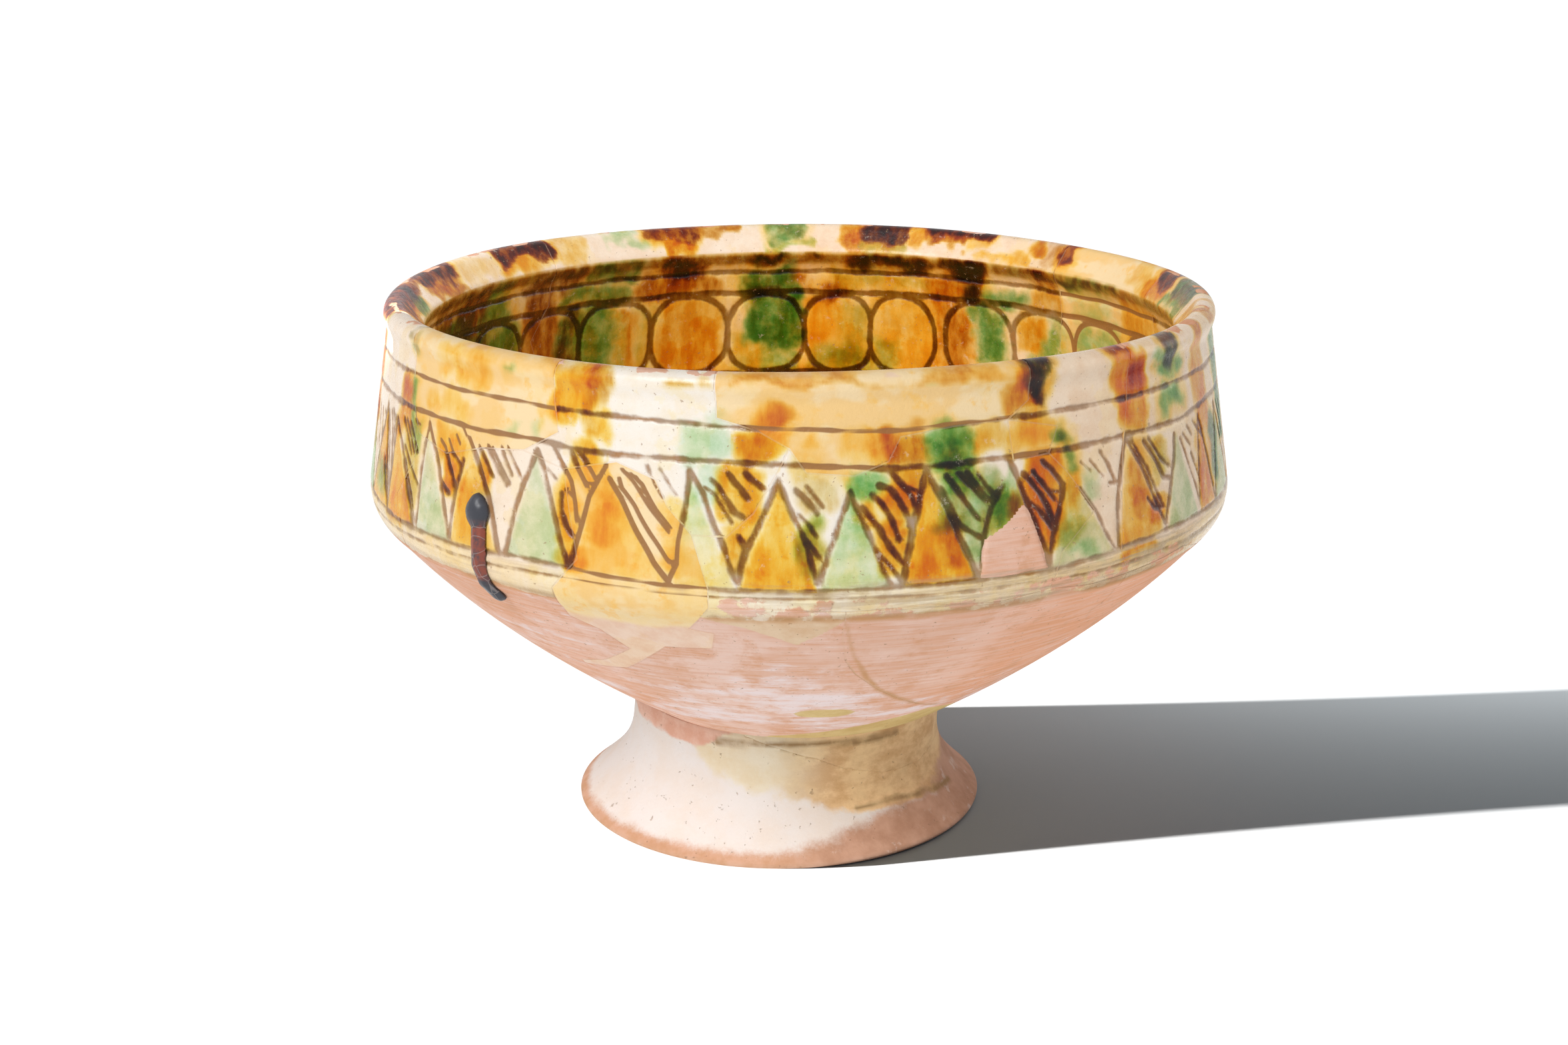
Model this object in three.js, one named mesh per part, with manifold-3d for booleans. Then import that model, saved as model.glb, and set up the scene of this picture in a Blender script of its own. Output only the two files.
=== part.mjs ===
// A medieval footed bowl of incised, slipped and splash-glazed earthenware, as it stands after repair:
// the sherds of the thrown bowl, the plaster fills where sherds are lost, the separately thrown foot with
// a fill at its joint, and a drip of glaze that fused to the wall in the kiln.
// Millimetres, +Z up. The bowl turns about the Z axis and the foot stands on z = 0.

import * as THREE from 'three';
import { mergeVertices } from 'three/addons/utils/BufferGeometryUtils.js';
import Module from 'manifold-3d';

const wasm = await Module();
wasm.setup();

// Bowl
const HEIGHT = 106.2;
const SHOULDER_DIAMETER = 168;
const SHOULDER_HEIGHT = 67;
const SHOULDER_ROUND = 5;
const INNER_SHOULDER_ROUND = 7;
const LOWER_BODY_BULGE = 3.8;
const LOWER_WALL = 6.5;
const BASE_DIAMETER = 63;
const FLOOR_THICKNESS = 6;
const FLOOR_FLAT_DIAMETER = 40;
const WALL = 5;
const WALL_TOP_DIAMETER = 159;
const LIP_DIAMETER = 160;
const LIP_ROUND = 2.4;
const LIP_BEAD_START = -25;
const LIP_BEAD_END = 125;
const LIP_WIDTH = 8;
const LIP_BEVEL_DEPTH = 5.8;
const LIP_RIDGE_ROUND = 1.2;
const LIP_UNDERCUT = 3.6;

// Foot
const FOOT_HEIGHT = 23.7;
const FOOT_DIAMETER = 82.8;
const FOOT_EDGE_HEIGHT = 1;
const FOOT_EDGE_ROUND = 1.2;
const FOOT_FLARE_SPREAD = 6.9;
const FOOT_FLARE_RISE = 5.9;
const FOOT_FLARE_HEIGHT = 17.6;
const FOOT_NECK_REACH = 7;
const FOOT_NECK_DIAMETER = 62.8;
const FOOT_LUTE_RISE = 4;
const FOOT_RIM_WIDTH = 6;
const FOOT_HOLLOW_ROUND = 2;
const FOOT_HOLLOW_NECK_DIAMETER = 44;
// The foot was luted on off centre, to the left and the back of the photographed side, and leans to the left.
const FOOT_SET_LEFT = 2;
const FOOT_SET_BACK = 2.4;
const FOOT_LEAN = 2;

// Repair
const GLUE_GAP = 0.3;
const SEAT_GAP = 0.3;
const JOINT_FILL_DEPTH = 3;

// Kiln drip: its bead sits this far above the shoulder, and its tail runs down over the shoulder.
const DRIP_BEARING = -42;
const DRIP_BEAD_HEIGHT = 11.5;
const DRIP_BEAD_WIDTH = 4.6;
const DRIP_BEAD_LENGTH = 7;
const DRIP_BEAD_RISE = 2.2;
const DRIP_TAIL_WIDTH = 3;
const DRIP_TAIL_LENGTH = 15;
const DRIP_TAIL_DRIFT = 2;
const DRIP_TAIL_STEPS = 5;

// Facets round the bowl, the foot and the drip
const BOWL_SIDES = 68;
const FOOT_SIDES = 48;
const CURVE_STEPS = 5;
const INNER_STEPS = 5;
const FLARE_STEPS = 8;
const FOOT_EDGE_STEPS = 3;
const LIP_RIDGE_STEPS = 2;
const DRIP_SIDES = 8;
const DRIP_CAP_STEPS = 3;
const DRIP_BEAD_SIDES = 12;
const DRIP_BEAD_STEPS = 10;
const MERGE_DISTANCE = 1e-4;

const plane = (x, y) => new THREE.Vector2(x, y);
const deg = THREE.MathUtils.degToRad;

const shoulderRadius = SHOULDER_DIAMETER / 2;
const wallTopRadius = WALL_TOP_DIAMETER / 2;
const lipRadius = LIP_DIAMETER / 2;
const baseRadius = BASE_DIAMETER / 2;
const baseHeight = FOOT_HEIGHT + SEAT_GAP;
const wallTopHeight = HEIGHT - LIP_ROUND * 2;
const wallLean = (shoulderRadius - wallTopRadius) / (wallTopHeight - SHOULDER_HEIGHT);

// Profile of the lower body, from the foot joint to just under the shoulder. A skin thickens it outwards.
function lowerBodyCurve(skin) {
  const start = plane(baseRadius + skin, baseHeight - skin);
  const corner = plane(shoulderRadius + skin + SHOULDER_ROUND * wallLean, SHOULDER_HEIGHT);
  const slope = corner.clone().sub(start).normalize();
  const end = corner.clone().addScaledVector(slope, -SHOULDER_ROUND);
  const control = start.clone().add(end).multiplyScalar(0.5);
  control.x += LOWER_BODY_BULGE * 2;
  return { curve: new THREE.QuadraticBezierCurve(start, control, end), corner };
}

// Outside of the bowl from the axis under its base, over the shoulder, to the top of the wall.
function outerProfile(skin) {
  const { curve, corner } = lowerBodyCurve(skin);
  const onWall = plane(corner.x - SHOULDER_ROUND * wallLean, SHOULDER_HEIGHT + SHOULDER_ROUND);
  const lower = curve.getPoints(CURVE_STEPS);
  const round = new THREE.QuadraticBezierCurve(curve.v2, corner, onWall);
  return [
    plane(0, baseHeight - skin),
    ...lower,
    ...round.getPoints(CURVE_STEPS).slice(1),
    plane(wallTopRadius + skin, wallTopHeight),
  ];
}

// Lip: a round bead outside, a wide bevel that falls inwards, and a ridge over an undercut.
function lipProfile() {
  const bead = new THREE.EllipseCurve(
    lipRadius - LIP_ROUND, HEIGHT - LIP_ROUND, LIP_ROUND, LIP_ROUND, deg(LIP_BEAD_START), deg(LIP_BEAD_END));
  const ridge = plane(lipRadius - LIP_WIDTH, HEIGHT - LIP_BEVEL_DEPTH);
  const beadEnd = bead.getPoint(1);
  const bevel = ridge.clone().sub(beadEnd).normalize();
  const under = plane(wallTopRadius - WALL, ridge.y - LIP_UNDERCUT);
  const underSlope = under.clone().sub(ridge).normalize();
  const ridgeRound = new THREE.QuadraticBezierCurve(
    ridge.clone().addScaledVector(bevel, -LIP_RIDGE_ROUND),
    ridge,
    ridge.clone().addScaledVector(underSlope, LIP_RIDGE_ROUND));
  return [...bead.getPoints(CURVE_STEPS), ...ridgeRound.getPoints(LIP_RIDGE_STEPS), under];
}

// Inside of the bowl from under the lip to the axis: the wall, a soft turn inside the shoulder, and the
// lower body at its own thickness, running out into the floor.
function innerProfile() {
  const { curve } = lowerBodyCurve(0);
  const inset = [];
  for (let step = INNER_STEPS; step > 0; step--) {
    const share = step / (INNER_STEPS + 1);
    const along = curve.getTangent(share);
    inset.push(curve.getPoint(share).add(plane(-along.y, along.x).multiplyScalar(LOWER_WALL)));
  }
  const wallFoot = shoulderRadius - WALL;
  const turn = new THREE.QuadraticBezierCurve(
    plane(wallFoot - INNER_SHOULDER_ROUND * wallLean, SHOULDER_HEIGHT + INNER_SHOULDER_ROUND),
    plane(wallFoot, SHOULDER_HEIGHT),
    inset[0]);
  const floorHeight = baseHeight + FLOOR_THICKNESS;
  const floor = new THREE.QuadraticBezierCurve(
    inset[INNER_STEPS - 1], plane(FLOOR_FLAT_DIAMETER / 2, floorHeight), plane(0, floorHeight));
  return [...turn.getPoints(CURVE_STEPS), ...inset.slice(1), ...floor.getPoints(CURVE_STEPS).slice(1)];
}

function revolve(profile, sides) {
  return new THREE.LatheGeometry(profile, sides).rotateX(Math.PI / 2);
}

function solidOf(geometry) {
  const bare = geometry.clone();
  bare.deleteAttribute('normal');
  bare.deleteAttribute('uv');
  const merged = mergeVertices(bare, MERGE_DISTANCE);
  const index = merged.index.array;
  const triVerts = [];
  for (let i = 0; i < index.length; i += 3) {
    const [a, b, c] = [index[i], index[i + 1], index[i + 2]];
    if (a !== b && b !== c && c !== a) triVerts.push(a, b, c);
  }
  return new wasm.Manifold(new wasm.Mesh({
    numProp: 3,
    vertProperties: new Float32Array(merged.attributes.position.array),
    triVerts: new Uint32Array(triVerts),
  }));
}

function geometryOf(solid) {
  const { vertProperties, triVerts } = solid.getMesh();
  const geometry = new THREE.BufferGeometry();
  geometry.setAttribute('position', new THREE.BufferAttribute(vertProperties, 3));
  geometry.setIndex(new THREE.BufferAttribute(triVerts, 1));
  geometry.computeVertexNormals();
  return geometry;
}

// The bowl's outside as a full core, thickened by a skin: what sits on the bowl is cut with it.
function bowlCore(skin) {
  return solidOf(revolve([...outerProfile(skin), plane(0, wallTopHeight)], BOWL_SIDES));
}

// A closed strip lofted through sections of four corners each; a ring joins its last section to the first.
function quadLoft(sections, ring = false) {
  const corners = sections.flat();
  const position = new Float32Array(corners.flatMap((p) => [p.x, p.y, p.z]));
  const index = [];
  const quad = (a, b, c, d) => index.push(a, b, c, a, c, d);
  const spans = ring ? sections.length : sections.length - 1;
  for (let i = 0; i < spans; i++) {
    const here = i * 4;
    const next = ((i + 1) % sections.length) * 4;
    for (let k = 0; k < 4; k++) quad(here + k, next + k, next + (k + 1) % 4, here + (k + 1) % 4);
  }
  if (!ring) {
    const last = (sections.length - 1) * 4;
    quad(0, 1, 2, 3);
    quad(last + 3, last + 2, last + 1, last);
  }
  const geometry = new THREE.BufferGeometry();
  geometry.setAttribute('position', new THREE.BufferAttribute(position, 3));
  geometry.setIndex(index);
  return solidOf(geometry);
}

// Breaks run square to the wall: each is a sheet of rays from one point on the axis at mid wall height.
// A place on the outside is a bearing in degrees, 0 at the photographed side and positive to the right,
// and a station: 0 at the foot joint, 1 at the shoulder, 2 at the lip and sky clear above it.
const sky = 2.6;
const CUT_NEAR_SHARE = 0.2;
const CUT_FAR_SHARE = 2.5;
const focus = new THREE.Vector3(0, 0, (SHOULDER_HEIGHT + HEIGHT) / 2);
const cutNear = lipRadius * CUT_NEAR_SHARE;
const cutFar = shoulderRadius * CUT_FAR_SHARE;

function place(bearing, station) {
  const mid = plane(shoulderRadius, SHOULDER_HEIGHT);
  const top = plane(lipRadius, HEIGHT);
  const point = station < 1
    ? lowerBodyCurve(0).curve.getPoint(station)
    : mid.clone().lerp(top, station - 1);
  const angle = deg(bearing);
  return new THREE.Vector3(point.x * Math.sin(angle), -point.x * Math.cos(angle), point.y);
}

function breakSheet(line, ring = false) {
  const reach = line.map(([bearing, station]) => place(bearing, station).sub(focus));
  const rays = reach.map((v) => v.clone().normalize());
  const count = rays.length;
  const edgeNormal = (i) => {
    const a = rays[(i + count) % count];
    const b = rays[(i + 1 + count) % count];
    return new THREE.Vector3().crossVectors(a, b).normalize();
  };
  const sections = rays.map((ray, i) => {
    const before = ring || i > 0 ? edgeNormal(i - 1) : edgeNormal(i);
    const after = ring || i < count - 1 ? edgeNormal(i) : edgeNormal(i - 1);
    const halfGap = GLUE_GAP / 2 / reach[i].length();
    const side = before.clone().add(after).multiplyScalar(halfGap / (1 + before.dot(after)));
    const left = ray.clone().add(side);
    const right = ray.clone().sub(side);
    const out = (direction, distance) => focus.clone().addScaledVector(direction, distance);
    return [out(left, cutNear), out(right, cutNear), out(right, cutFar), out(left, cutFar)];
  });
  return quadLoft(sections, ring);
}

// Junctions where breaks meet, each a bearing and a station
const meet = {
  leftSill: [-56, 1.54],
  leftLow: [-60, 0.62],
  rimSherdCorner: [-35, 1.6],
  frontFillTop: [-29, 1.55],
  frontFillTongue: [-38.5, 0.555],
  frontFillShoulder: [-10.5, 1.02],
  frontFillSide: [-12.5, 1.33],
  rimFillSill: [-1.5, 1.7],
  patchTop: [25, 1.775],
  patchLow: [30.5, 1.61],
  shoulderFront: [5, 1.01],
  shoulderRightFront: [30, 1.03],
  shoulderRight: [42.5, 1.005],
  rightFillFront: [106, 1.2],
  rightFillBack: [127, 1.15],
  shoulderBack: [145, 1.02],
  shoulderBackLeft: [226, 1],
  floorRight: [72, 0.2],
  floorBack: [148, 0.18],
  floorBackLeft: [224, 0.17],
  shoulderLeft: [285, 0.8],
  floorLeft: [284, 0.17],
};

const breakLines = [
  // left edge of the left rim fill and the long break under it
  [[-58, sky], [-59, 1.8], [-58.5, 1.67], meet.leftSill, [-57, 1.4], [-61, 1.22], [-59, 1.05], [-62, 0.85],
    meet.leftLow],
  // sill and right edge of the left rim fill
  [meet.leftSill, [-49, 1.5], [-42, 1.57], meet.rimSherdCorner, [-30, 1.7], [-31, 1.85], [-28.5, sky]],
  [meet.rimSherdCorner, meet.frontFillTop],
  // slanting break from the front rim fill to the front fill
  [meet.rimFillSill, [-2.5, 1.62], [-5.5, 1.43], [-8.5, 1.33], meet.frontFillSide],
  // front rim fill
  [[-11, sky], [-10, 1.82], [-5, 1.77], meet.rimFillSill, [0.5, 1.6], [6, 1.585], [10, 1.64], [11.5, 1.74],
    [18, 1.77], meet.patchTop, [28, 1.85], [28.5, sky]],
  // hooked break under the wall patch
  [meet.patchLow, [33, 1.52], [37, 1.33], [31.5, 1.18], meet.shoulderRightFront],
  // the bowl parted all along its shoulder, and below it on the left
  [meet.frontFillShoulder, [-4, 1.03], meet.shoulderFront, [14, 1.03], [23, 1], meet.shoulderRightFront,
    [36, 1], meet.shoulderRight, [55, 1.03], [70, 0.99], [88, 1.02], meet.rightFillFront, [113, 1.1],
    [121, 1.18], meet.rightFillBack, meet.shoulderBack, [165, 0.97], [185, 1.03], [205, 0.98],
    meet.shoulderBackLeft, [245, 0.9], [265, 0.97], meet.shoulderLeft, meet.leftLow, [-50, 0.53],
    meet.frontFillTongue],
  // right-hand break from the lip to the floor
  [[47, sky], [44, 1.77], [42.5, 1.54], [41, 1.12], meet.shoulderRight, [43.5, 0.93], [42.5, 0.86],
    [44, 0.8], [52, 0.74], [58, 0.55], [66, 0.38], meet.floorRight],
  // right rim fill
  [[103, sky], [104, 1.7], [101, 1.45], meet.rightFillFront],
  [[130, sky], [130, 1.62], [131, 1.4], meet.rightFillBack],
  // back left break from the lip to the floor
  [[226, sky], [226.5, 1.66], [230, 1.45], [227, 1.2], meet.shoulderBackLeft, [230, 0.75], [222, 0.5],
    [228, 0.3], meet.floorBackLeft],
  // crack down the front of the lower body, which goes on round the back beside the floor
  [meet.shoulderFront, [5, 0.94], [6, 0.78], [8, 0.67], [13, 0.53], [20, 0.4], [27, 0.31], [37, 0.24],
    [52, 0.17], meet.floorRight, [95, 0.2], [120, 0.16], meet.floorBack, [175, 0.19], [200, 0.15],
    meet.floorBackLeft, [240, 0.18], [262, 0.14], meet.floorLeft],
  // cracks of the lower body at the back and the left
  [meet.shoulderBack, [150, 0.8], [143, 0.55], [152, 0.35], meet.floorBack],
  [meet.shoulderLeft, [282, 0.6], [288, 0.4], meet.floorLeft],
];

const breakRings = [
  // front fill, from the frieze down over the shoulder, with a thin tongue to the left
  [meet.frontFillTop, [-28, 1.39], [-26.5, 1.18], [-30, 1.03], [-30, 0.95], [-26.5, 0.89], [-24, 0.78],
    [-31, 0.65], [-38, 0.585], meet.frontFillTongue, [-28, 0.61], [-18, 0.83], [-11.5, 0.845],
    [-10.5, 0.95], [-13.5, 0.97], meet.frontFillShoulder, [-10.5, 1.11], meet.frontFillSide, [-15.5, 1.44],
    [-17, 1.55], [-22, 1.61]],
  // wall patch
  [meet.patchTop, [25.5, 1.6], meet.patchLow, [32, 1.72]],
];

const finish = (color, roughness) => new THREE.MeshStandardMaterial({ color, roughness, metalness: 0 });
const glazed = finish(0xd9b878, 0.25);
const clay = finish(0xd39a78, 0.85);
const plaster = finish(0xdfbb83, 0.75);
const slip = finish(0xe8d9c4, 0.8);
const drip = finish(0x1b1512, 0.15);

// Every piece of the bowl, with a place that lies on it
const bowlPieces = [
  ['left_wall_sherd', -95, 1.5, glazed],
  ['back_wall_sherd', 180, 1.5, glazed],
  ['right_wall_sherd', 75, 1.5, glazed],
  ['right_front_wall_sherd', 38, 1.6, glazed],
  ['front_wall_sherd', 8, 1.3, glazed],
  ['front_left_rim_sherd', -20, 1.8, glazed],
  ['front_left_wall_sherd', -45, 1.25, glazed],
  ['left_rim_fill', -45, 1.8, plaster],
  ['front_fill', -20, 1.2, plaster],
  ['front_rim_fill', 15, 1.86, plaster],
  ['wall_patch_fill', 28.5, 1.68, plaster],
  ['right_rim_fill', 116, 1.6, plaster],
  ['base_sherd', -15, 0.5, clay],
  ['right_lower_sherd', 30, 0.7, clay],
  ['back_right_lower_sherd', 110, 0.6, clay],
  ['back_lower_sherd', 190, 0.6, clay],
  ['left_lower_sherd', 265, 0.5, clay],
];

function pieceMesh(name, geometry, material) {
  const mesh = new THREE.Mesh(geometry, material);
  mesh.name = name;
  return mesh;
}

// The whole bowl is thrown first, broken along every line, and each loose sherd or fill is named by the
// place that a ray from the focus finds on it.
function brokenBowl() {
  const profile = [...outerProfile(0), ...lipProfile(), ...innerProfile()];
  let bowl = solidOf(revolve(profile, BOWL_SIDES));
  for (const line of breakLines) bowl = bowl.subtract(breakSheet(line));
  for (const line of breakRings) bowl = bowl.subtract(breakSheet(line, true));
  const loose = bowl.decompose().map((solid) => new THREE.Mesh(geometryOf(solid), glazed));
  return bowlPieces.map(([name, bearing, station, material]) => {
    const aim = place(bearing, station).sub(focus).normalize();
    const found = new THREE.Raycaster(focus, aim).intersectObjects(loose);
    return pieceMesh(name, found[0].object.geometry, material);
  });
}

// Foot: a flaring collar that spreads to a thin round edge, with a flat ring to stand on and a hollow
// under the bowl. Its top stands up round the bowl, and is then cut to the bowl's underside.
function footProfile() {
  const neck = FOOT_NECK_DIAMETER / 2;
  const edge = FOOT_DIAMETER / 2;
  const hollowNeck = FOOT_HOLLOW_NECK_DIAMETER / 2;
  const standOuter = edge - FOOT_EDGE_ROUND;
  const standInner = standOuter - FOOT_RIM_WIDTH;
  const top = FOOT_HEIGHT + FOOT_LUTE_RISE;
  const under = new THREE.QuadraticBezierCurve(
    plane(standOuter, 0), plane(edge, 0), plane(edge, FOOT_EDGE_HEIGHT));
  const flare = new THREE.CubicBezierCurve(
    plane(edge, FOOT_EDGE_HEIGHT),
    plane(edge - FOOT_FLARE_SPREAD, FOOT_EDGE_HEIGHT + FOOT_FLARE_RISE),
    plane(neck, FOOT_FLARE_HEIGHT - FOOT_NECK_REACH),
    plane(neck, FOOT_FLARE_HEIGHT));
  const hollow = new THREE.QuadraticBezierCurve(
    plane(hollowNeck, FOOT_FLARE_HEIGHT),
    plane(hollowNeck, FOOT_FLARE_HEIGHT / 2),
    plane(standInner - FOOT_HOLLOW_ROUND, FOOT_HOLLOW_ROUND));
  return [
    plane(standInner, 0),
    ...under.getPoints(FOOT_EDGE_STEPS),
    ...flare.getPoints(FLARE_STEPS).slice(1),
    plane(neck, top),
    plane(hollowNeck, top),
    ...hollow.getPoints(CURVE_STEPS),
    plane(standInner, 0),
  ];
}

// Moves the foot off centre and leans it, without tilting the ring that it stands on.
function leanFoot(geometry) {
  const lean = FOOT_LEAN / FOOT_HEIGHT;
  const matrix = new THREE.Matrix4().set(
    1, 0, lean, -FOOT_SET_LEFT - FOOT_LEAN,
    0, 1, 0, FOOT_SET_BACK,
    0, 0, 1, 0,
    0, 0, 0, 1);
  return geometry.applyMatrix4(matrix);
}

// Pocket for the fill at the foot joint: its lower edge, as a share of the foot's height, drops on the right.
const jointFillEdge = [
  [-16, 0.97], [-6, 0.9], [8, 0.8], [22, 0.66], [38, 0.56], [56, 0.53], [74, 0.58], [92, 0.68], [110, 0.84],
  [124, 0.97],
];

function jointPocket(gap) {
  const inner = FOOT_NECK_DIAMETER / 2 - JOINT_FILL_DEPTH + gap;
  const outer = FOOT_DIAMETER;
  const top = FOOT_HEIGHT + FOOT_LUTE_RISE * 2;
  const trim = THREE.MathUtils.radToDeg(gap / inner);
  const sections = jointFillEdge.map(([bearing, share], i) => {
    const shift = (i === 0 ? trim : 0) - (i === jointFillEdge.length - 1 ? trim : 0);
    const angle = deg(bearing + shift);
    const low = share * FOOT_HEIGHT + gap;
    const at = (radius, z) => new THREE.Vector3(
      radius * Math.sin(angle) - FOOT_SET_LEFT, FOOT_SET_BACK - radius * Math.cos(angle), z);
    return [at(inner, low), at(outer, low), at(outer, top), at(inner, top)];
  });
  return quadLoft(sections);
}

function footPieces() {
  const seat = bowlCore(SEAT_GAP);
  const whole = solidOf(leanFoot(revolve(footProfile(), FOOT_SIDES))).subtract(seat);
  return [
    pieceMesh('pedestal_foot', geometryOf(whole.subtract(jointPocket(0))), slip),
    pieceMesh('foot_joint_fill', geometryOf(whole.intersect(jointPocket(GLUE_GAP))), plaster),
  ];
}

// A capsule between two points, for the drip's tail
function capsule(from, to, radius) {
  const along = to.clone().sub(from);
  const geometry = new THREE.CapsuleGeometry(radius, along.length(), DRIP_CAP_STEPS, DRIP_SIDES);
  const turn = new THREE.Quaternion().setFromUnitVectors(new THREE.Vector3(0, 1, 0), along.normalize());
  geometry.applyQuaternion(turn);
  const middle = from.clone().add(to).multiplyScalar(0.5);
  return solidOf(geometry.translate(middle.x, middle.y, middle.z));
}

// Point on the outside of the bowl at a bearing and a height
function onWall(bearing, height) {
  const profile = outerProfile(0);
  const above = profile.findIndex((point) => point.y > height);
  const [a, b] = [profile[above - 1], profile[above]];
  const radius = THREE.MathUtils.mapLinear(height, a.y, b.y, a.x, b.x);
  const angle = deg(bearing);
  return new THREE.Vector3(radius * Math.sin(angle), -radius * Math.cos(angle), height);
}

function kilnDrip() {
  const bead = new THREE.SphereGeometry(1, DRIP_BEAD_SIDES, DRIP_BEAD_STEPS);
  bead.scale(DRIP_BEAD_WIDTH / 2, DRIP_BEAD_RISE, DRIP_BEAD_LENGTH / 2);
  bead.rotateZ(deg(DRIP_BEARING));
  const top = SHOULDER_HEIGHT + DRIP_BEAD_HEIGHT;
  const seat = onWall(DRIP_BEARING, top);
  bead.translate(seat.x, seat.y, seat.z);
  let run = solidOf(bead);
  for (let i = 0; i < DRIP_TAIL_STEPS; i++) {
    const [from, to] = [i, i + 1].map((step) => {
      const share = step / DRIP_TAIL_STEPS;
      return onWall(DRIP_BEARING + DRIP_TAIL_DRIFT * share, top - DRIP_TAIL_LENGTH * share);
    });
    run = run.add(capsule(from, to, DRIP_TAIL_WIDTH / 2));
  }
  return pieceMesh('kiln_drip', geometryOf(run.subtract(bowlCore(SEAT_GAP))), drip);
}

const bowl = new THREE.Group();
bowl.add(...footPieces(), ...brokenBowl(), kilnDrip());

export default bowl;
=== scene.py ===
# %% [markdown]
# # A mended footed bowl
# The bowl was thrown on a wheel, coated with white slip, incised while leather hard, splashed with amber,
# green and brown glaze, and fired. Later it broke, and it was put together again from its sherds, with
# plaster where sherds are lost. The CAD part holds every sherd at its true size, so the lesson starts by
# loading it, and the dressed bowl is built to that size. The dressed bowl has to keep that size.

# %% Load the imported part
import math
from contextlib import contextmanager

import bpy
import numpy as np
from mathutils import Matrix, Vector


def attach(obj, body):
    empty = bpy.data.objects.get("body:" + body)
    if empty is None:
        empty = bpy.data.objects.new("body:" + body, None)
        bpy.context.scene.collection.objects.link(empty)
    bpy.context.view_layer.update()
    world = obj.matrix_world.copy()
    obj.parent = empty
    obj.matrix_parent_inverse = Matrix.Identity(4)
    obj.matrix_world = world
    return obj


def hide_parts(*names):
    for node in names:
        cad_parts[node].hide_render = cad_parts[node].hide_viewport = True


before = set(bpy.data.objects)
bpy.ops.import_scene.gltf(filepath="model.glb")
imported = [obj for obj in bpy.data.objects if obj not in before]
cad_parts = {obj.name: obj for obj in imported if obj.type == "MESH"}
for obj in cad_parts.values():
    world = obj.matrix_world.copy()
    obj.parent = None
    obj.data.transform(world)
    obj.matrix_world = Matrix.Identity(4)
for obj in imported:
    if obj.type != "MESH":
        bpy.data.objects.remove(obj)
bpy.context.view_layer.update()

MM = 0.001

# %% [markdown]
# ## Camera
# The photograph looks down on the bowl by about 17 degrees with a normal 50 mm lens. The camera's place
# was found from the outline of the bowl, so the drawn frieze falls where the photographed one does.

# %% Set up the camera
LENS_MM, SENSOR_MM = 50, 36
CAMERA_PLACE, CAMERA_DIP = (-0.0029, -0.4204, 0.1832), 16.58

camera = bpy.data.objects.new("camera", bpy.data.cameras.new("camera"))
bpy.context.scene.collection.objects.link(camera)
camera.data.lens = LENS_MM
camera.data.sensor_width = SENSOR_MM
camera.data.sensor_fit = "HORIZONTAL"
camera.data.clip_start = 0.01
camera.location = CAMERA_PLACE
camera.rotation_euler = (math.radians(90 - CAMERA_DIP), 0, 0)
bpy.context.scene.camera = camera
bpy.context.scene.view_settings.view_transform = "Standard"
print("camera at", tuple(round(v, 4) for v in camera.location))

# %% [markdown]
# ## Floor and light
# The bowl stands on a white table. One lamp rakes low across the table from the left and lights only the
# table, so the foot and the body throw the long level shadow of the photograph. A broad, soft lamp from
# the front left lights only the bowl, a weak one fills its right side, and a small soft panel over the
# mouth lights the inside. A strip behind the shadow lifts its far edge. Light linking keeps them apart,
# as flags and screens do in a studio. Clay throws warm light down into the shadow, so the floor is a cool
# grey and the lamps on it are warm: where they shine, the two cancel to white, and the shadow stays
# neutral.


# %% Helper that adds a node and wires it
def node(tree, kind, inputs=None, **settings):
    """A node with its settings, and each input wired to a socket or set to a value."""
    made = tree.nodes.new(kind)
    for name, value in settings.items():
        setattr(made, name, value)
    for key, value in (inputs or {}).items():
        if isinstance(value, bpy.types.NodeSocket):
            tree.links.new(value, made.inputs[key])
        else:
            made.inputs[key].default_value = value
    return made


def math_node(tree, operation, a, b=0.0):
    return node(tree, "ShaderNodeMath", {0: a, 1: b}, operation=operation).outputs[0]


def mix_colour(tree, share, a, b, blend="MIX"):
    a, b = (c if isinstance(c, bpy.types.NodeSocket) else (*c, 1) for c in (a, b))
    made = node(tree, "ShaderNodeMix", {0: share, 6: a, 7: b}, data_type="RGBA", blend_type=blend)
    return made.outputs[2]


def new_material(name):
    material = bpy.data.materials.new(name)
    material.use_nodes = True
    material.node_tree.nodes.clear()
    return material, material.node_tree


# %% Seen rays: what the camera and reflections meet
def seen_rays(tree):
    path = node(tree, "ShaderNodeLightPath")
    either = math_node(tree, "MAXIMUM", path.outputs["Is Camera Ray"], path.outputs["Is Glossy Ray"])
    return math_node(tree, "MAXIMUM", either, path.outputs["Is Transmission Ray"])


# %% Floor
FLOOR_SIZE = 8
FLOOR_TONE, FLOOR_TONE_SEEN = (0.238, 0.302, 0.358), (0.28, 0.357, 0.423)

bpy.ops.object.select_all(action="DESELECT")
bpy.ops.mesh.primitive_plane_add(size=FLOOR_SIZE, location=(0, 0, 0))
floor = bpy.context.object
floor.name = "white_floor"
floor_material, tree = new_material("white_floor")
floor_tone = mix_colour(tree, seen_rays(tree), FLOOR_TONE, FLOOR_TONE_SEEN)
floor_shader = node(tree, "ShaderNodeBsdfDiffuse", {"Color": floor_tone})
node(tree, "ShaderNodeOutputMaterial", {"Surface": floor_shader.outputs[0]})
floor.data.materials.append(floor_material)
print("floor", tuple(floor.dimensions))

# %% World
ROOM_GLOW, WHITE = 0.11, (1, 1, 1, 1)

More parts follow.
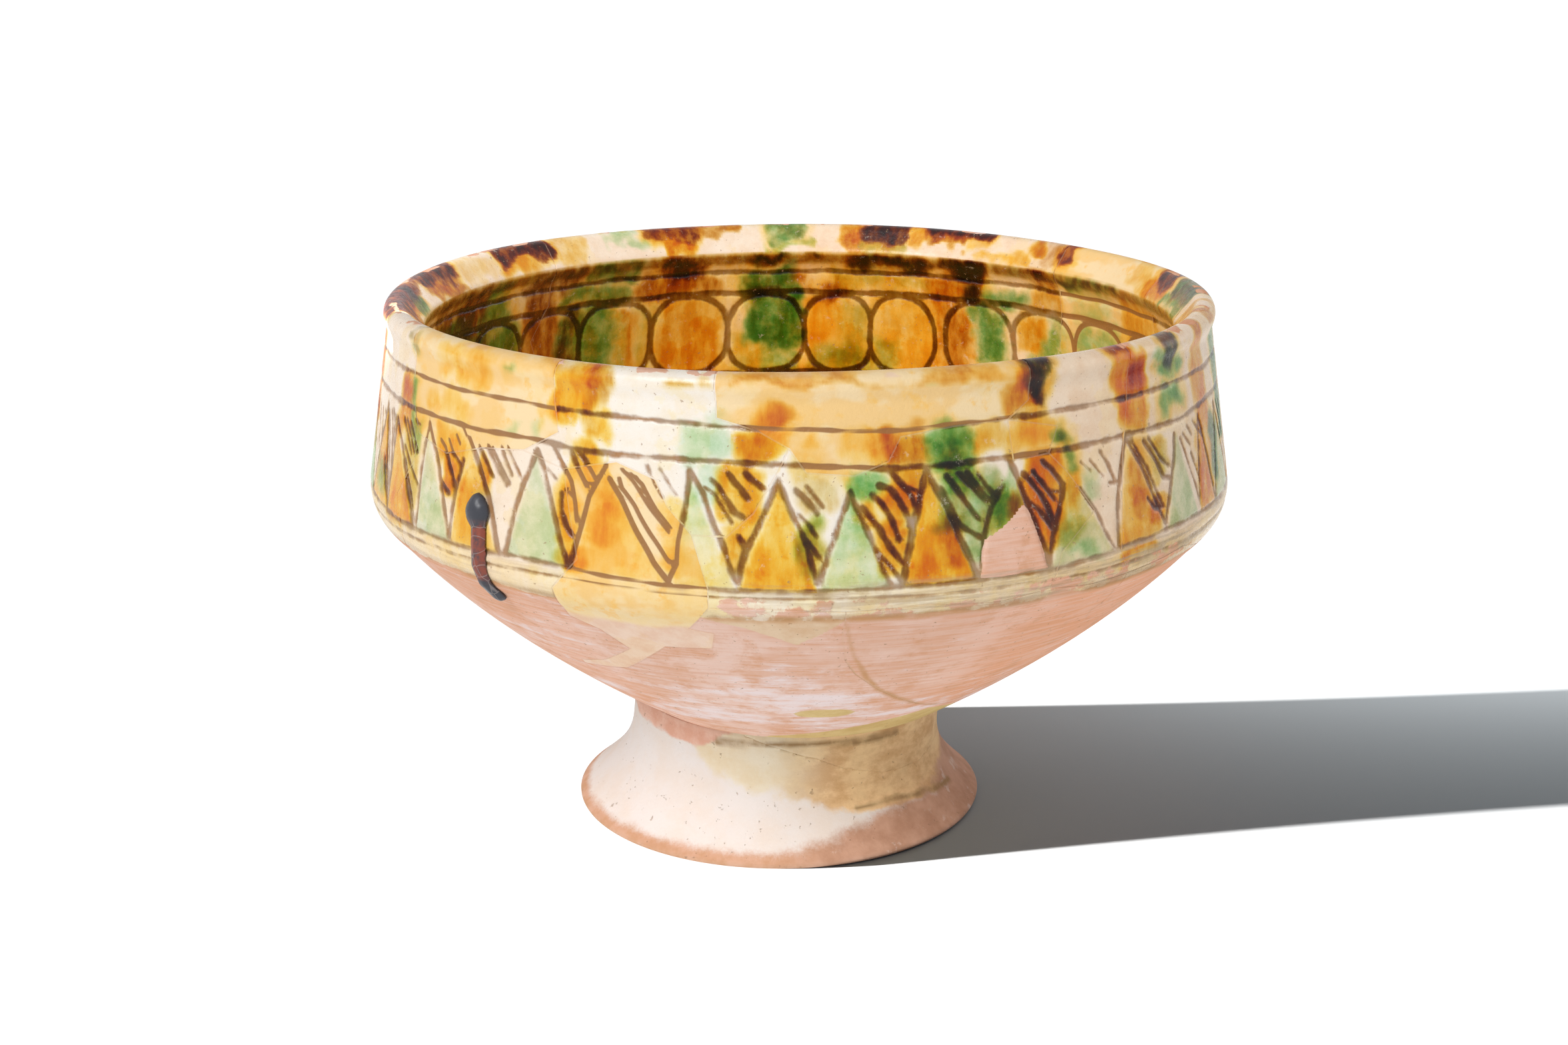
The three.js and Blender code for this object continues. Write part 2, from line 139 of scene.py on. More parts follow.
world = bpy.data.worlds.new("studio")
world.use_nodes = True
bpy.context.scene.world = world
tree = world.node_tree
tree.nodes.clear()
room = node(tree, "ShaderNodeBackground", {"Color": WHITE, "Strength": ROOM_GLOW})
backdrop = node(tree, "ShaderNodeBackground", {"Color": WHITE, "Strength": 1.0})
sky = node(tree, "ShaderNodeMixShader", {0: seen_rays(tree), 1: room.outputs[0], 2: backdrop.outputs[0]})
node(tree, "ShaderNodeOutputWorld", {"Surface": sky.outputs[0]})
print("room glow:", ROOM_GLOW)


# %% Lamps, each for the table alone or for the bowl alone
def lamp_of(name, kind, energy, shine, lights_floor):
    lamp = bpy.data.objects.new(name, bpy.data.lights.new(name, kind))
    lamp.data.energy = energy
    lamp.rotation_euler = shine.to_track_quat("-Z", "Y").to_euler()
    bpy.context.scene.collection.objects.link(lamp)
    lit = bpy.data.collections.new(name + "_lights")
    lit.objects.link(floor)
    lamp.light_linking.receiver_collection = lit
    lit.collection_objects[0].light_linking.link_state = "INCLUDE" if lights_floor else "EXCLUDE"
    return lamp


def sun(name, bearing, elevation, energy, angle, lights_floor):
    b, e = math.radians(bearing), math.radians(elevation)
    shine = Vector((-math.sin(b) * math.cos(e), math.cos(b) * math.cos(e), -math.sin(e)))
    lamp = lamp_of(name, "SUN", energy, shine, lights_floor)
    lamp.data.angle = math.radians(angle)
    return lamp


def panel(name, place, shine, energy, wide, tall, lights_floor):
    """A soft rectangle of light that neither the camera nor a reflection sees."""
    lamp = lamp_of(name, "AREA", energy, shine, lights_floor)
    lamp.location = place
    lamp.data.shape = "RECTANGLE"
    lamp.data.size, lamp.data.size_y = wide, tall
    lamp.visible_camera = lamp.visible_glossy = False
    return lamp


# %% Set up the five lamps
RAKE_COLOUR, STRIP_COLOUR = (1, 0.786, 0.663), (0.95, 0.79, 0.69)
MOUTH_PLACE, MOUTH_AIM = Vector((-0.055, -0.020, 0.140)), Vector((0.020, 0.075, 0.085))
STRIP_PLACE, STRIP_SHINE = Vector((0.17, 0.11, 0.06)), Vector((-0.1, -0.6, -0.8))

table_lamp = sun("table_lamp", bearing=-82.5, elevation=4.6, energy=150, angle=1.2, lights_floor=True)
table_lamp.data.color = RAKE_COLOUR
sun("bowl_lamp", bearing=-33, elevation=42, energy=2.38, angle=25, lights_floor=False)
sun("side_lamp", bearing=104, elevation=12, energy=0.66, angle=40, lights_floor=False)
panel("mouth_panel", MOUTH_PLACE, MOUTH_AIM - MOUTH_PLACE, energy=0.05, wide=0.09, tall=0.09,
      lights_floor=False)
far_panel = panel("far_panel", STRIP_PLACE, STRIP_SHINE, energy=0.26, wide=0.22, tall=0.04, lights_floor=True)
far_panel.data.color = STRIP_COLOUR

# %% [markdown]
# ## Throwing the bowl
# A potter's bowl is a turned shape, so it is made as the potter makes it: half a section, carried round
# the axis by a Screw modifier. The section uses the CAD part's sizes with many more points, because the
# incised lines need a row of vertices about every half millimetre. The lower body is a shallow curve up
# to a sharp shoulder, the wall leans in, and the lip is a bead outside and a bevel inside that ends in a
# ridge over an undercut.

# %% Section of the bowl, in millimetres as (radius, height)
SHOULDER_RADIUS, SHOULDER_HEIGHT = 84.0, 67.0
WALL_TOP_RADIUS, WALL_TOP_HEIGHT = 79.5, 101.4
BASE_RADIUS, BASE_HEIGHT = 31.5, 24.0
RIM_HEIGHT = 106.2
LEAN = (SHOULDER_RADIUS - WALL_TOP_RADIUS) / (WALL_TOP_HEIGHT - SHOULDER_HEIGHT)
SHOULDER_ROUND, BELLY = 5, 7.6
LIP_MIDDLE, LIP_RADIUS = (77.6, 103.8), 2.4
RIDGE = ((72.74, 101.35), (72.0, 100.4), (72.68, 99.41))
INNER_WALL = [(74.5, 96.8), (78.1, 74.0), (78.1, 71.3)]
INNER_SHOULDER = [(77.2, 68.7), (75.6, 66.2), (73.2, 63.9), (70.0, 61.8)]
INNER_BODY = [(63.4, 55.4), (55.8, 49.0), (47.5, 42.5), (38.2, 36.0)]
INNER_FLOOR = [(30.8, 33.9), (23.4, 32.2), (15.7, 31.0), (7.9, 30.2), (0.0, 30.0)]


def curve(a, b, c, count=24):
    a, b, c = (np.array(p, float) for p in (a, b, c))
    t = np.linspace(0, 1, count)[:, None]
    return (1 - t) ** 2 * a + 2 * t * (1 - t) * b + t * t * c


def bowl_section():
    """Half a section, from the axis under the base, over the lip, to the axis on the floor."""
    start = np.array((BASE_RADIUS, BASE_HEIGHT))
    corner = np.array((SHOULDER_RADIUS + SHOULDER_ROUND * LEAN, SHOULDER_HEIGHT))
    slope = (corner - start) / np.linalg.norm(corner - start)
    below = corner - SHOULDER_ROUND * slope
    lower = curve(start, (start + below) / 2 + (BELLY, 0), below, 60)
    shoulder = curve(below, corner, (SHOULDER_RADIUS, SHOULDER_HEIGHT + SHOULDER_ROUND))
    angle = np.radians(np.linspace(-25, 125, 24))
    bead = LIP_MIDDLE + LIP_RADIUS * np.column_stack((np.cos(angle), np.sin(angle)))
    return np.vstack(([(0, BASE_HEIGHT)], lower, shoulder[1:], [(WALL_TOP_RADIUS, WALL_TOP_HEIGHT)], bead,
                      curve(*RIDGE), INNER_WALL, INNER_SHOULDER, INNER_BODY, INNER_FLOOR))


# %% Rows of vertices along the section
TRACE_STEPS = 8000
WALL_ROW, LIP_ROW, OUTER_ROW, INNER_ROW, FLOOR_ROW = 0.5, 0.6, 0.9, 1.3, 3.0
WALL_FROM, WALL_NEAREST, LIP_FROM, FLOOR_REACH = 64, 70, 99, 33


def respaced(outline, spacing):
    """The outline with points at a spacing that depends on the place and on which side it is."""
    steps = np.linalg.norm(np.diff(outline, axis=0), axis=1)
    along = np.concatenate(([0], np.cumsum(steps)))
    fine = np.linspace(0, along[-1], TRACE_STEPS)
    r, z = np.interp(fine, along, outline[:, 0]), np.interp(fine, along, outline[:, 1])
    top = np.argmax(z)
    step = np.array([spacing(a, b, i > top) for i, (a, b) in enumerate(zip(r, z))])
    count = np.concatenate(([0], np.cumsum(np.diff(fine) / step[1:])))
    rows = np.linspace(0, count[-1], int(round(count[-1])) + 1)
    at = np.interp(rows, count, fine)
    return np.column_stack((np.interp(at, fine, r), np.interp(at, fine, z)))


def bowl_spacing(r, z, inner):
    """Closest on the incised wall, widest on the floor and under the foot."""
    if z > WALL_FROM and r > WALL_NEAREST:
        return WALL_ROW if z < LIP_FROM else LIP_ROW
    if r > FLOOR_REACH:
        return INNER_ROW if inner else OUTER_ROW
    return FLOOR_ROW


section = respaced(bowl_section(), bowl_spacing)
print("section rows:", len(section))

# %% Turn a section into a closed body
BOWL_STEPS = 1040
WELD = 1e-6


@contextmanager
def editing():
    """Edit mode on the active object, with all of its mesh selected."""
    bpy.ops.object.mode_set(mode="EDIT")
    bpy.ops.mesh.select_all(action="SELECT")
    yield
    bpy.ops.object.mode_set(mode="OBJECT")


def turned(name, profile, steps, meets_axis):
    bpy.ops.object.select_all(action="DESELECT")
    bpy.ops.mesh.primitive_circle_add(vertices=len(profile), radius=0.05, location=(0, 0, 0))
    body = bpy.context.object
    body.name = body.data.name = name
    places = np.column_stack((profile[:, 0], np.zeros(len(profile)), profile[:, 1])) * MM
    body.data.vertices.foreach_set("co", places.ravel())
    on_axis = {0, len(profile) - 1}
    for vertex in body.data.vertices:
        vertex.select = False
    for line in body.data.edges:
        line.select = meets_axis and set(line.vertices) == on_axis
    bpy.ops.object.mode_set(mode="EDIT")
    bpy.ops.mesh.select_mode(type="EDGE")
    bpy.ops.mesh.delete(type="EDGE_FACE")
    bpy.ops.mesh.select_mode(type="VERT")
    bpy.ops.object.mode_set(mode="OBJECT")
    wheel = body.modifiers.new("wheel", "SCREW")
    wheel.angle = 2 * math.pi
    wheel.steps = wheel.render_steps = steps
    wheel.use_merge_vertices = True
    wheel.merge_threshold = WELD
    bpy.ops.object.modifier_apply(modifier="wheel")
    with editing():
        bpy.ops.mesh.remove_doubles(threshold=WELD)
        bpy.ops.mesh.normals_make_consistent(inside=False)
    return body


thrown_bowl = turned("thrown_bowl", section, BOWL_STEPS, True)
print("thrown bowl:", len(thrown_bowl.data.vertices), "vertices")


# %% Read and write a mesh's points in millimetres
def points_of(mesh):
    co = np.empty(len(mesh.vertices) * 3)
    mesh.vertices.foreach_get("co", co)
    return co.reshape(-1, 3) / MM


def set_points(mesh, points):
    mesh.vertices.foreach_set("co", (points * MM).ravel())
    mesh.update()


# %% [markdown]
# ## Places on the bowl
# Everything that was drawn or splashed is placed by a bearing and a height. Bearing 0 faces the
# photograph and grows to the right. The middle of the wall, seen from a point on the axis, parts the
# outside from the inside.

# %% Bearings, heights and sides
FOCUS = np.array((0.0, 0.0, (SHOULDER_HEIGHT + RIM_HEIGHT) / 2))
rise = np.arctan2(section[:, 1] - FOCUS[2], section[:, 0])
reach = np.hypot(section[:, 0], section[:, 1] - FOCUS[2])
tip = int(np.argmax(rise))


def middle_reach(elevation):
    outer = np.interp(elevation, rise[:tip + 1], reach[:tip + 1])
    inner = np.interp(elevation, rise[tip:][::-1], reach[tip:][::-1])
    return (outer + inner) / 2


def places_on(points):
    """Bearing in degrees, height, radius, and whether each point is outside."""
    radius = np.hypot(points[:, 0], points[:, 1])
    bearing = np.degrees(np.arctan2(points[:, 0], -points[:, 1]))
    up = points[:, 2] - FOCUS[2]
    outside = np.hypot(radius, up) > middle_reach(np.arctan2(up, radius))
    return bearing, points[:, 2], radius, outside


print("wall is", round(2 * (np.interp(0, rise[:tip + 1], reach[:tip + 1]) - middle_reach(0)), 1), "mm thick")


# %% Small functions of a place
def turn(bearing):
    """The same bearing between -180 and 180 degrees."""
    return (np.asarray(bearing) + 180) % 360 - 180


def smooth(low, high, value):
    """From 0 at low to 1 at high without a corner."""
    t = np.clip((value - low) / (high - low), 0, 1)
    return t * t * (3 - 2 * t)


def bell(value, middle, width):
    """1 in the middle, fading on both sides."""
    return np.exp(-(((value - middle) / width) ** 2))


def between(value, low, high):
    return (value > low) & (value < high)


# %% [markdown]
# ## The incised frieze
# With the slip still damp, the potter ruled two lines under the lip and two above the shoulder, and drew
# a zig-zag of triangles between them. The spaces that point down are hatched with slanting strokes.
# Inside, a chain of ovals runs between ruled lines, two above it and one below. Each stroke is kept as a
# run of points, so one distance function gives both the groove and, later, its colour. Where the bowl is
# out of sight, the same pattern goes on.

# %% Ruled lines, which wander a little as they do on the real bowl
RULED = {
    "upper": ([-68, -34, -16, 0, 10, 25, 57, 180], [97.9, 98.4, 98.0, 97.4, 97.0, 97.6, 97.4, 97.7]),
    "top": ([-68, -45, -34, -28, -14, -4, 5, 10, 32, 48, 57, 67, 180],
            [91.9, 92.3, 92.6, 92.1, 92.0, 92.0, 91.3, 90.9, 91.2, 91.1, 90.8, 91.6, 91.6]),
    "foot": ([-68, -58, -45, -36, -27, -15, 2, 10, 30, 40, 50, 68, 180],
             [71.3, 71.2, 71.6, 72.4, 72.3, 71.3, 71.2, 71.6, 71.4, 72.2, 72.8, 72.3, 71.7]),
    "shoulder": ([-68, -45, -27, -10, 0, 20, 40, 52, 180],
                 [69.0, 69.8, 70.6, 69.9, 70.1, 69.8, 69.4, 69.3, 69.5]),
    "edge": ([-68, -35, -10, 10, 25, 40, 50, 180], [66.4, 66.3, 66.0, 66.2, 66.2, 66.0, 65.8, 66.2]),
}
INCISED_HALF = {"upper": 0.44, "top": 0.54, "foot": 0.42, "shoulder": 0.26}


def ruled(name, bearing):
    return np.interp(bearing, *RULED[name], period=360)


print("ruled lines:", ", ".join(INCISED_HALF), "and the edge of the glaze")

# %% Triangles: bearing and height of the point, left and right foot, amber and green at the top and the foot
FRIEZE = [
    (-63.7, 88.7, -64.6, -55.7, 0.7, 1.05, 0, 0), (-53.6, 90.7, -54.8, -47.0, 0.08, 0.0, 0.12, 0.3),
    (-44.4, 90.4, -46.8, -38.0, 0.35, 0.75, 0, 0), (-33.1, 90.8, -37.0, -27.6, 0.02, 0.02, 0.2, 0.26),
    (-23.2, 90.0, -27.4, -15.2, 0.7, 0.28, 0, 0), (-13.1, 90.3, -14.6, -7.4, 0.02, 0.3, 0.3, 0.06),
    (-2.6, 89.4, -7.0, 1.6, 0.5, 1.15, 0, 0), (5.5, 87.4, 2.0, 10.0, 0.12, 0.08, 0.6, 0.26),
    (14.6, 90.4, 11.4, 20.2, 1.0, 1.05, 0, 0), (25.0, 90.5, 20.5, 29.8, 0.1, 0.0, 0.4, 0.1),
    (33.2, 88.0, 29.9, 40.0, 0.22, 0.08, 0.12, 0.2), (43.1, 90.5, 40.5, 50.2, 0.42, 0.45, 0, 0),
    (54.5, 89.4, 50.4, 59.4, 0.03, 0.03, 0.2, 0.36), (62.4, 89.6, 59.8, 66.6, 0.75, 0.95, 0, 0),
]
BACK_TRIANGLES = 24


def whole_frieze():
    """The seen triangles, and the same zig-zag carried on round the back by an even hand."""
    rng = np.random.default_rng(7)
    feet = np.linspace(66.6, 360 - 64.6, BACK_TRIANGLES + 1)
    feet[1:-1] += rng.uniform(-0.9, 0.9, BACK_TRIANGLES - 1)
    rows = list(FRIEZE)
    for i in range(BACK_TRIANGLES):
        left, right = feet[i], feet[i + 1]
        point = left + (right - left) * rng.uniform(0.38, 0.6)
        if i % 2:
            depths = (rng.uniform(0.4, 1.0), rng.uniform(0.7, 1.2), 0, 0)
        else:
            depths = (0.04, 0.04, rng.uniform(0.2, 0.45), rng.uniform(0.2, 0.5))
        rows.append((point, rng.uniform(89, 90.6), left, right, *depths))
    return np.array(rows)


frieze = whole_frieze()
print("triangles in the frieze:", len(frieze))

# %% Sides of the seen triangles: half width, then bearings and heights along the stroke
SIDES = [
    (0.5, -67.8, 80, -66.5, 76, -64.6, 71.6), (0.45, -64.6, 71.6, -64.3, 80, -63.7, 88.7),
    (0.5, -63.7, 88.7, -61.2, 84.9, -59.9, 81.7, -55.7, 72), (0.42, -54.8, 72, -54.6, 82, -53.6, 90.7),
    (0.55, -53.6, 90.7, -50.2, 83.5, -47.0, 72.3), (0.5, -46.8, 72.3, -46.9, 75, -46.5, 81, -45.4, 86.4),
    (0.6, -44.4, 90.4, -42.5, 86.6, -40.4, 81.7, -38.0, 72.5),
    (0.58, -37, 72.6, -35.8, 79.8, -34.8, 84.5, -33.1, 90.8),
    (0.5, -33.1, 90.8, -31.8, 88, -30.2, 81.7, -27.6, 72.6),
    (0.55, -27.4, 72.4, -26, 80.8, -25.4, 84.5, -23.2, 90.1),
    (0.62, -22.7, 88, -21.2, 84.8, -19, 79.4, -17, 74.8, -15.2, 72.1),
    (0.5, -21.5, 88.2, -21.2, 86.7, -19.4, 83.9, -17.4, 79.4, -15.2, 75.3, -14.2, 75.1),
    (0.55, -15.2, 72.1, -14.2, 75.1), (0.5, -14.2, 75.1, -14.0, 79, -13.4, 83.5, -13.1, 90.3),
    (0.5, -13.1, 90.3, -11.4, 86.7, -10.2, 82.6, -9, 79, -7.4, 73),
    (0.6, -7.0, 72.6, -6.6, 75.7, -6.2, 78, -4.2, 83.9, -2.6, 89.4),
    (0.5, -2.6, 89.4, -0.6, 82.6, 0.6, 78.5, 1.6, 72.6),
    (0.5, 2, 72.8, 2.8, 76.7, 3.8, 79.8, 4.9, 84.4, 5.5, 87.3),
    (0.5, 5.5, 87.3, 7.2, 81.7, 8.6, 77.1, 10, 72.1),
    (0.65, 11.4, 72.1, 11.8, 74.8, 12.6, 80.7, 13.6, 85.7, 14.6, 90.5),
    (0.6, 14.6, 90.5, 16, 86.2, 18, 79.8, 20.2, 72.1),
    (0.5, 20.4, 72.1, 21, 76.7, 21.6, 80.3, 22.4, 83.5, 24, 86.6),
    (0.6, 25, 90.5, 26.2, 86.2, 27.6, 81.7, 29.2, 75.3, 29.8, 72.1),
    (0.6, 29.9, 72.3, 30.6, 77.1, 31.7, 82.1, 32.4, 85.2),
    (0.38, 35, 84, 37.2, 79.4, 38.3, 76.2, 40, 72.3), (0.55, 40.5, 72.6, 41, 79.4, 41.9, 85.7, 43, 90.5),
    (0.5, 43.6, 89.8, 45.7, 85.7, 47.4, 81.2, 50.1, 74.2),
    (0.55, 50.3, 74, 51.8, 79.4, 53.6, 84.9, 54.2, 88.6),
    (0.4, 55.6, 87.6, 57, 83.9, 58.4, 79.8, 59.7, 75), (0.45, 60.0, 74, 61, 82, 62, 89.6),
    (0.45, 62, 89.6, 64.5, 81, 66.5, 72.4),
]

# %% Hatching in the seen spaces, in the same way
HATCHING = [
    (0.45, -61, 89.6, -57.8, 83.9), (0.45, -60, 89.6, -57, 84.4), (0.45, -58.8, 89.4, -56, 84.8),
    (0.4, -60, 84.6, -55.3, 79.2), (0.35, -59.6, 82.5, -57, 77.2, -55.6, 73),
    (0.35, -57.4, 90.2, -56, 89.6), (0.5, -50.6, 88.5, -49.4, 87.4, -47.6, 83.9, -46.8, 81.4),
    (0.45, -48.8, 89, -47.6, 87, -45.8, 85.4), (0.45, -47.2, 90.2, -46.3, 88.9),
    (0.4, -46, 92, -45, 90.6), (0.5, -49.5, 81.6, -47.8, 80), (0.45, -48.6, 85.6, -46.6, 81.6),
    (0.45, -42.6, 89.6, -41, 87.2, -39.6, 85), (0.5, -41, 90, -39, 86.6, -37.4, 84.2),
    (0.5, -40.2, 89.8, -37, 84.6), (0.42, -38.6, 90.4, -36.6, 86), (0.38, -37.6, 90.6, -35.4, 86.2),
    (0.55, -30.8, 92.1, -29.4, 89.6, -28, 86.6, -27.2, 83, -26.8, 80.3),
    (0.62, -28, 91.6, -27.2, 89, -25.8, 86.2), (0.55, -27.2, 92.1, -25.8, 89.8, -24.6, 87.6),
    (0.4, -25.8, 86.6, -24.6, 86.7), (0.5, -29.2, 84.4, -29, 81.6, -28, 79, -27.2, 78),
    (0.38, -31.3, 88, -30, 86.6), (0.4, -28.6, 85.2, -27.8, 84.2),
    (0.45, -21.2, 89.8, -19.8, 88, -18, 84.8, -15.2, 80.1),
    (0.42, -20.2, 89.2, -18.6, 87.6, -16.6, 83.5, -15, 80.8), (0.34, -19.4, 88.7, -16.4, 82.6),
    (0.3, -18.2, 90.7, -17.2, 88, -16, 85.7), (0.3, -16.6, 90.3, -15.2, 87.6, -14.4, 86.2),
    (0.6, -10.4, 88.9, -9.4, 87.6, -7.8, 83.9, -6.8, 83), (0.68, -8.4, 90.1, -7.2, 88.2, -6.2, 86.2),
    (0.68, -6.4, 90.3, -5.2, 88.9, -4.4, 88), (0.4, -11.2, 87.6, -10, 86.7, -8, 82.1),
    (0.5, -7.2, 80.1, -6.2, 78), (0.6, -0.5, 87.8, 0.6, 86.2, 1.8, 83.9),
    (0.5, -0.2, 83.7, 0.8, 82.1, 1.6, 80.3), (0.5, 0.6, 79.4, 2, 76.7), (0.34, 0.6, 88.6, 2.4, 85),
    (0.65, 8.8, 88.2, 10, 87.6, 11.4, 84.8, 12.4, 82.1, 12.4, 81.4),
    (0.55, 8, 86.7, 9.2, 84.8, 10.4, 82.1, 11.1, 79.4),
    (0.55, 6.8, 84.8, 8.8, 81.2, 10.6, 77.1, 11.6, 75.3), (0.5, 8.4, 78, 10, 75.3, 11.2, 72.6),
    (0.6, 10.2, 90.5, 11.2, 88.5, 12.6, 86.2, 13.2, 83.9), (0.4, 12, 87.6, 14, 86.7),
    (0.55, 17, 89.2, 18.4, 86.2, 20.8, 81.7), (0.5, 18.4, 89.4, 21.8, 84.4),
    (0.5, 19.4, 89.4, 22.4, 84.4), (0.45, 20.8, 89, 22.8, 85.3),
    (0.55, 16.2, 87.1, 18.4, 80.8, 20.8, 78.5), (0.5, 21.8, 84.4, 24, 86.6),
    (0.6, 26.6, 88, 27.6, 86.7, 29.2, 83.9, 30.6, 79.4), (0.55, 28.1, 88, 29.2, 86.2, 30.9, 83),
    (0.62, 29.6, 89.6, 30.9, 88, 32, 85.7, 32.1, 84.4), (0.5, 27, 83.9, 28.7, 81.7, 30.3, 78.5),
    (0.4, 30.6, 84.4, 32, 84), (0.5, 38.6, 89.6, 39.6, 87.6, 40.7, 84.4), (0.34, 36.9, 88.5, 38.9, 85.3),
    (0.3, 35.3, 88.5, 36.9, 86.7), (0.34, 39.8, 83.9, 41.6, 83.7),
    (0.45, 44.4, 89.8, 46.8, 84.8, 49.9, 77.1), (0.6, 46.8, 89.2, 48.8, 85.7, 50.4, 82.1, 51.8, 81.4),
    (0.5, 47.9, 89.4, 50.1, 85.3, 52, 83.5), (0.5, 46.8, 79.4, 48.2, 77.3, 49.9, 77.1),
    (0.4, 56.5, 88, 58.7, 85.3), (0.4, 57.8, 89, 59.2, 87.1), (0.4, 59.8, 89.4, 62.5, 86.2),
    (0.4, 58.6, 84, 60.4, 79),
]

# %% Strokes out of sight, by the same hand
STROKE_SHARE, HATCH_SHARE = 0.88, 0.95


def hidden_strokes():
    rng = np.random.default_rng(3)
    rows = []
    for i in range(len(FRIEZE), len(frieze)):
        point, top, left, right = frieze[i, :4]
        rows.append((0.52, left, ruled("foot", left), point, top))
        rows.append((0.55, point, top, right, ruled("foot", right)))
        after = frieze[(i + 1) % len(frieze), 0]
        wide = turn(after - point)
        fall = (ruled("foot", right) - top) / (right - point)
        for share in np.linspace(0.2, 0.84, 4) + rng.uniform(-0.04, 0.04, 4):
            start, high = point + wide * share, top - rng.uniform(0.2, 1.8)
            run = (1 - share) * (right - point) * rng.uniform(0.72, 0.96)
            bow = rng.uniform(0.2, 0.9)
            middle = (start + run * 0.5 + 0.2, high + fall * run * 0.5 + bow)
            rows.append((rng.uniform(0.42, 0.6), start, high, *middle, start + run, high + fall * run))
    return rows


def segments_of(rows):
    """Each stroke's points as short straight segments: from, to and half width."""
    parts = []
    for half, *run in rows:
        dots = list(zip(run[::2], run[1::2]))
        parts += [(*a, *b, STROKE_SHARE * half) for a, b in zip(dots, dots[1:])]
    return np.array(parts)


hatching = [(HATCH_SHARE * half, *run) for half, *run in HATCHING]
strokes = segments_of(SIDES + hatching + hidden_strokes())
print("segments outside:", len(strokes))

# %% How far each point lies from the edge of the nearest stroke
FAR = 9.0


def hand_sway(bearing, height):
    """The waver of the potter's hand, in millimetres."""
    a = np.radians(bearing)
    return 0.16 * np.sin(19 * a + 0.31 * height) + 0.10 * np.sin(47 * a - 0.42 * height + 1.3)


def segment_distance(bearing, height, radius, segments, best=None):
    best = np.full(len(bearing), FAR) if best is None else best
    for b0, z0, b1, z1, half in segments:
        near = np.flatnonzero(np.abs(turn(bearing - (b0 + b1) / 2)) < abs(b1 - b0) / 2 + 3)
        if not len(near):
            continue
        scale = math.pi / 180 * radius[near]
        x, z = turn(bearing[near] - b0) * scale, height[near] - z0
        dx, dz = (b1 - b0) * scale, z1 - z0
        t = np.clip((x * dx + z * dz) / (dx * dx + dz * dz), 0, 1)
        best[near] = np.minimum(best[near], np.hypot(x - t * dx, z - t * dz) - half)
    return best


def stroke_distance(bearing, height, radius):
    best = np.full(len(bearing), FAR)
    tall = height + 0.5 * hand_sway(bearing + 37, height)
    pressure = 0.85 + 0.9 * hand_sway(2.3 * bearing, 0)
    for name, half in INCISED_HALF.items():
        best = np.minimum(best, np.abs(tall - ruled(name, bearing)) - half * pressure)
    band = np.flatnonzero(between(height, 69, 94))
    sway = bearing + 0.5 * hand_sway(bearing, height)
    best[band] = segment_distance(sway[band], tall[band], radius[band], strokes, best[band])
    return best


# %% Chain of ovals inside: bearing of each middle and half width in degrees
SEEN_OVALS = [(-121.5, 6.3), (-134.1, 6.4), (-147.4, 6.9), (-161.2, 6.8), (-174.7, 6.6), (172.8, 5.8),
              (161.5, 5.7), (147.3, 6.5), (134.3, 6.5), (121.3, 6.4)]
HIDDEN_OVALS = [(b, 6.3) for b in np.linspace(-108.6, 108.6, 18)]
OVAL_MIDDLE, OVAL_HALF_HEIGHT, OVAL_HALF_WIDTH = 81.2, 9.2, 8.9
OVAL_SQUARENESS, OVAL_STROKE = 2.6, 0.6
INNER_LINES = ((95.9, 0.5), (91.0, 0.66), (71.6, 0.55))


def oval_distance(bearing, height):
    best = np.full(len(bearing), FAR)
    sway = bearing + 0.7 * hand_sway(bearing, height)
    tall = height + 0.8 * hand_sway(bearing + 71, height)
    for line, half in INNER_LINES:
        best = np.minimum(best, np.abs(tall - line) - half)
    band = np.flatnonzero(between(height, 70, 93))
    for middle, half in SEEN_OVALS + HIDDEN_OVALS:
        near = band[np.abs(turn(bearing[band] - middle)) < 9]
        if len(near):
            x = np.abs(turn(sway[near] - middle)) / half
            z = np.abs(tall[near] - OVAL_MIDDLE) / OVAL_HALF_HEIGHT
            size = (x ** OVAL_SQUARENESS + z ** OVAL_SQUARENESS) ** (1 / OVAL_SQUARENESS)
            best[near] = np.minimum(best[near], np.abs(size - 1) * OVAL_HALF_WIDTH - OVAL_STROKE)
    return best


print("ovals inside:", len(SEEN_OVALS + HIDDEN_OVALS))

# %% [markdown]
# ## Cutting the grooves
# The strokes are cut about a quarter of a millimetre deep into the turned wall, and the lip gets the
# slight waver of a hand-thrown rim. Moving the vertices in or out along the radius is enough, because the
# wall is nearly upright where it is incised.

# %% Incise the wall and let the rim waver
GROOVE_DEPTH = 0.26


def waver(points, bearing):
    lift = 0.22 * np.sin(np.radians(2 * bearing + 50)) + 0.12 * np.sin(np.radians(5 * bearing))
    points[:, 2] += lift * smooth(80, 106, points[:, 2])
    return points


def groove_share(distance):
    """1 in the bottom of a groove and 0 beside it."""
    return smooth(0.3, -0.45, distance)


def incise(body):
    points = points_of(body.data)
    bearing, height, radius, outside = places_on(points)
    groove = np.zeros(len(points))
    out = np.flatnonzero(outside & between(height, 66, 100))
    groove[out] = -groove_share(stroke_distance(bearing[out], height[out], radius[out]))
    inn = np.flatnonzero(~outside & between(height, 70, 97))
    groove[inn] = groove_share(oval_distance(bearing[inn], height[inn]))
    scale = 1 + groove * GROOVE_DEPTH / np.maximum(radius, 1)
    points[:, 0] *= scale
    points[:, 1] *= scale
    set_points(body.data, waver(points, bearing))
    return int((np.abs(groove) > 0.5).sum())


print("vertices in grooves:", incise(thrown_bowl))

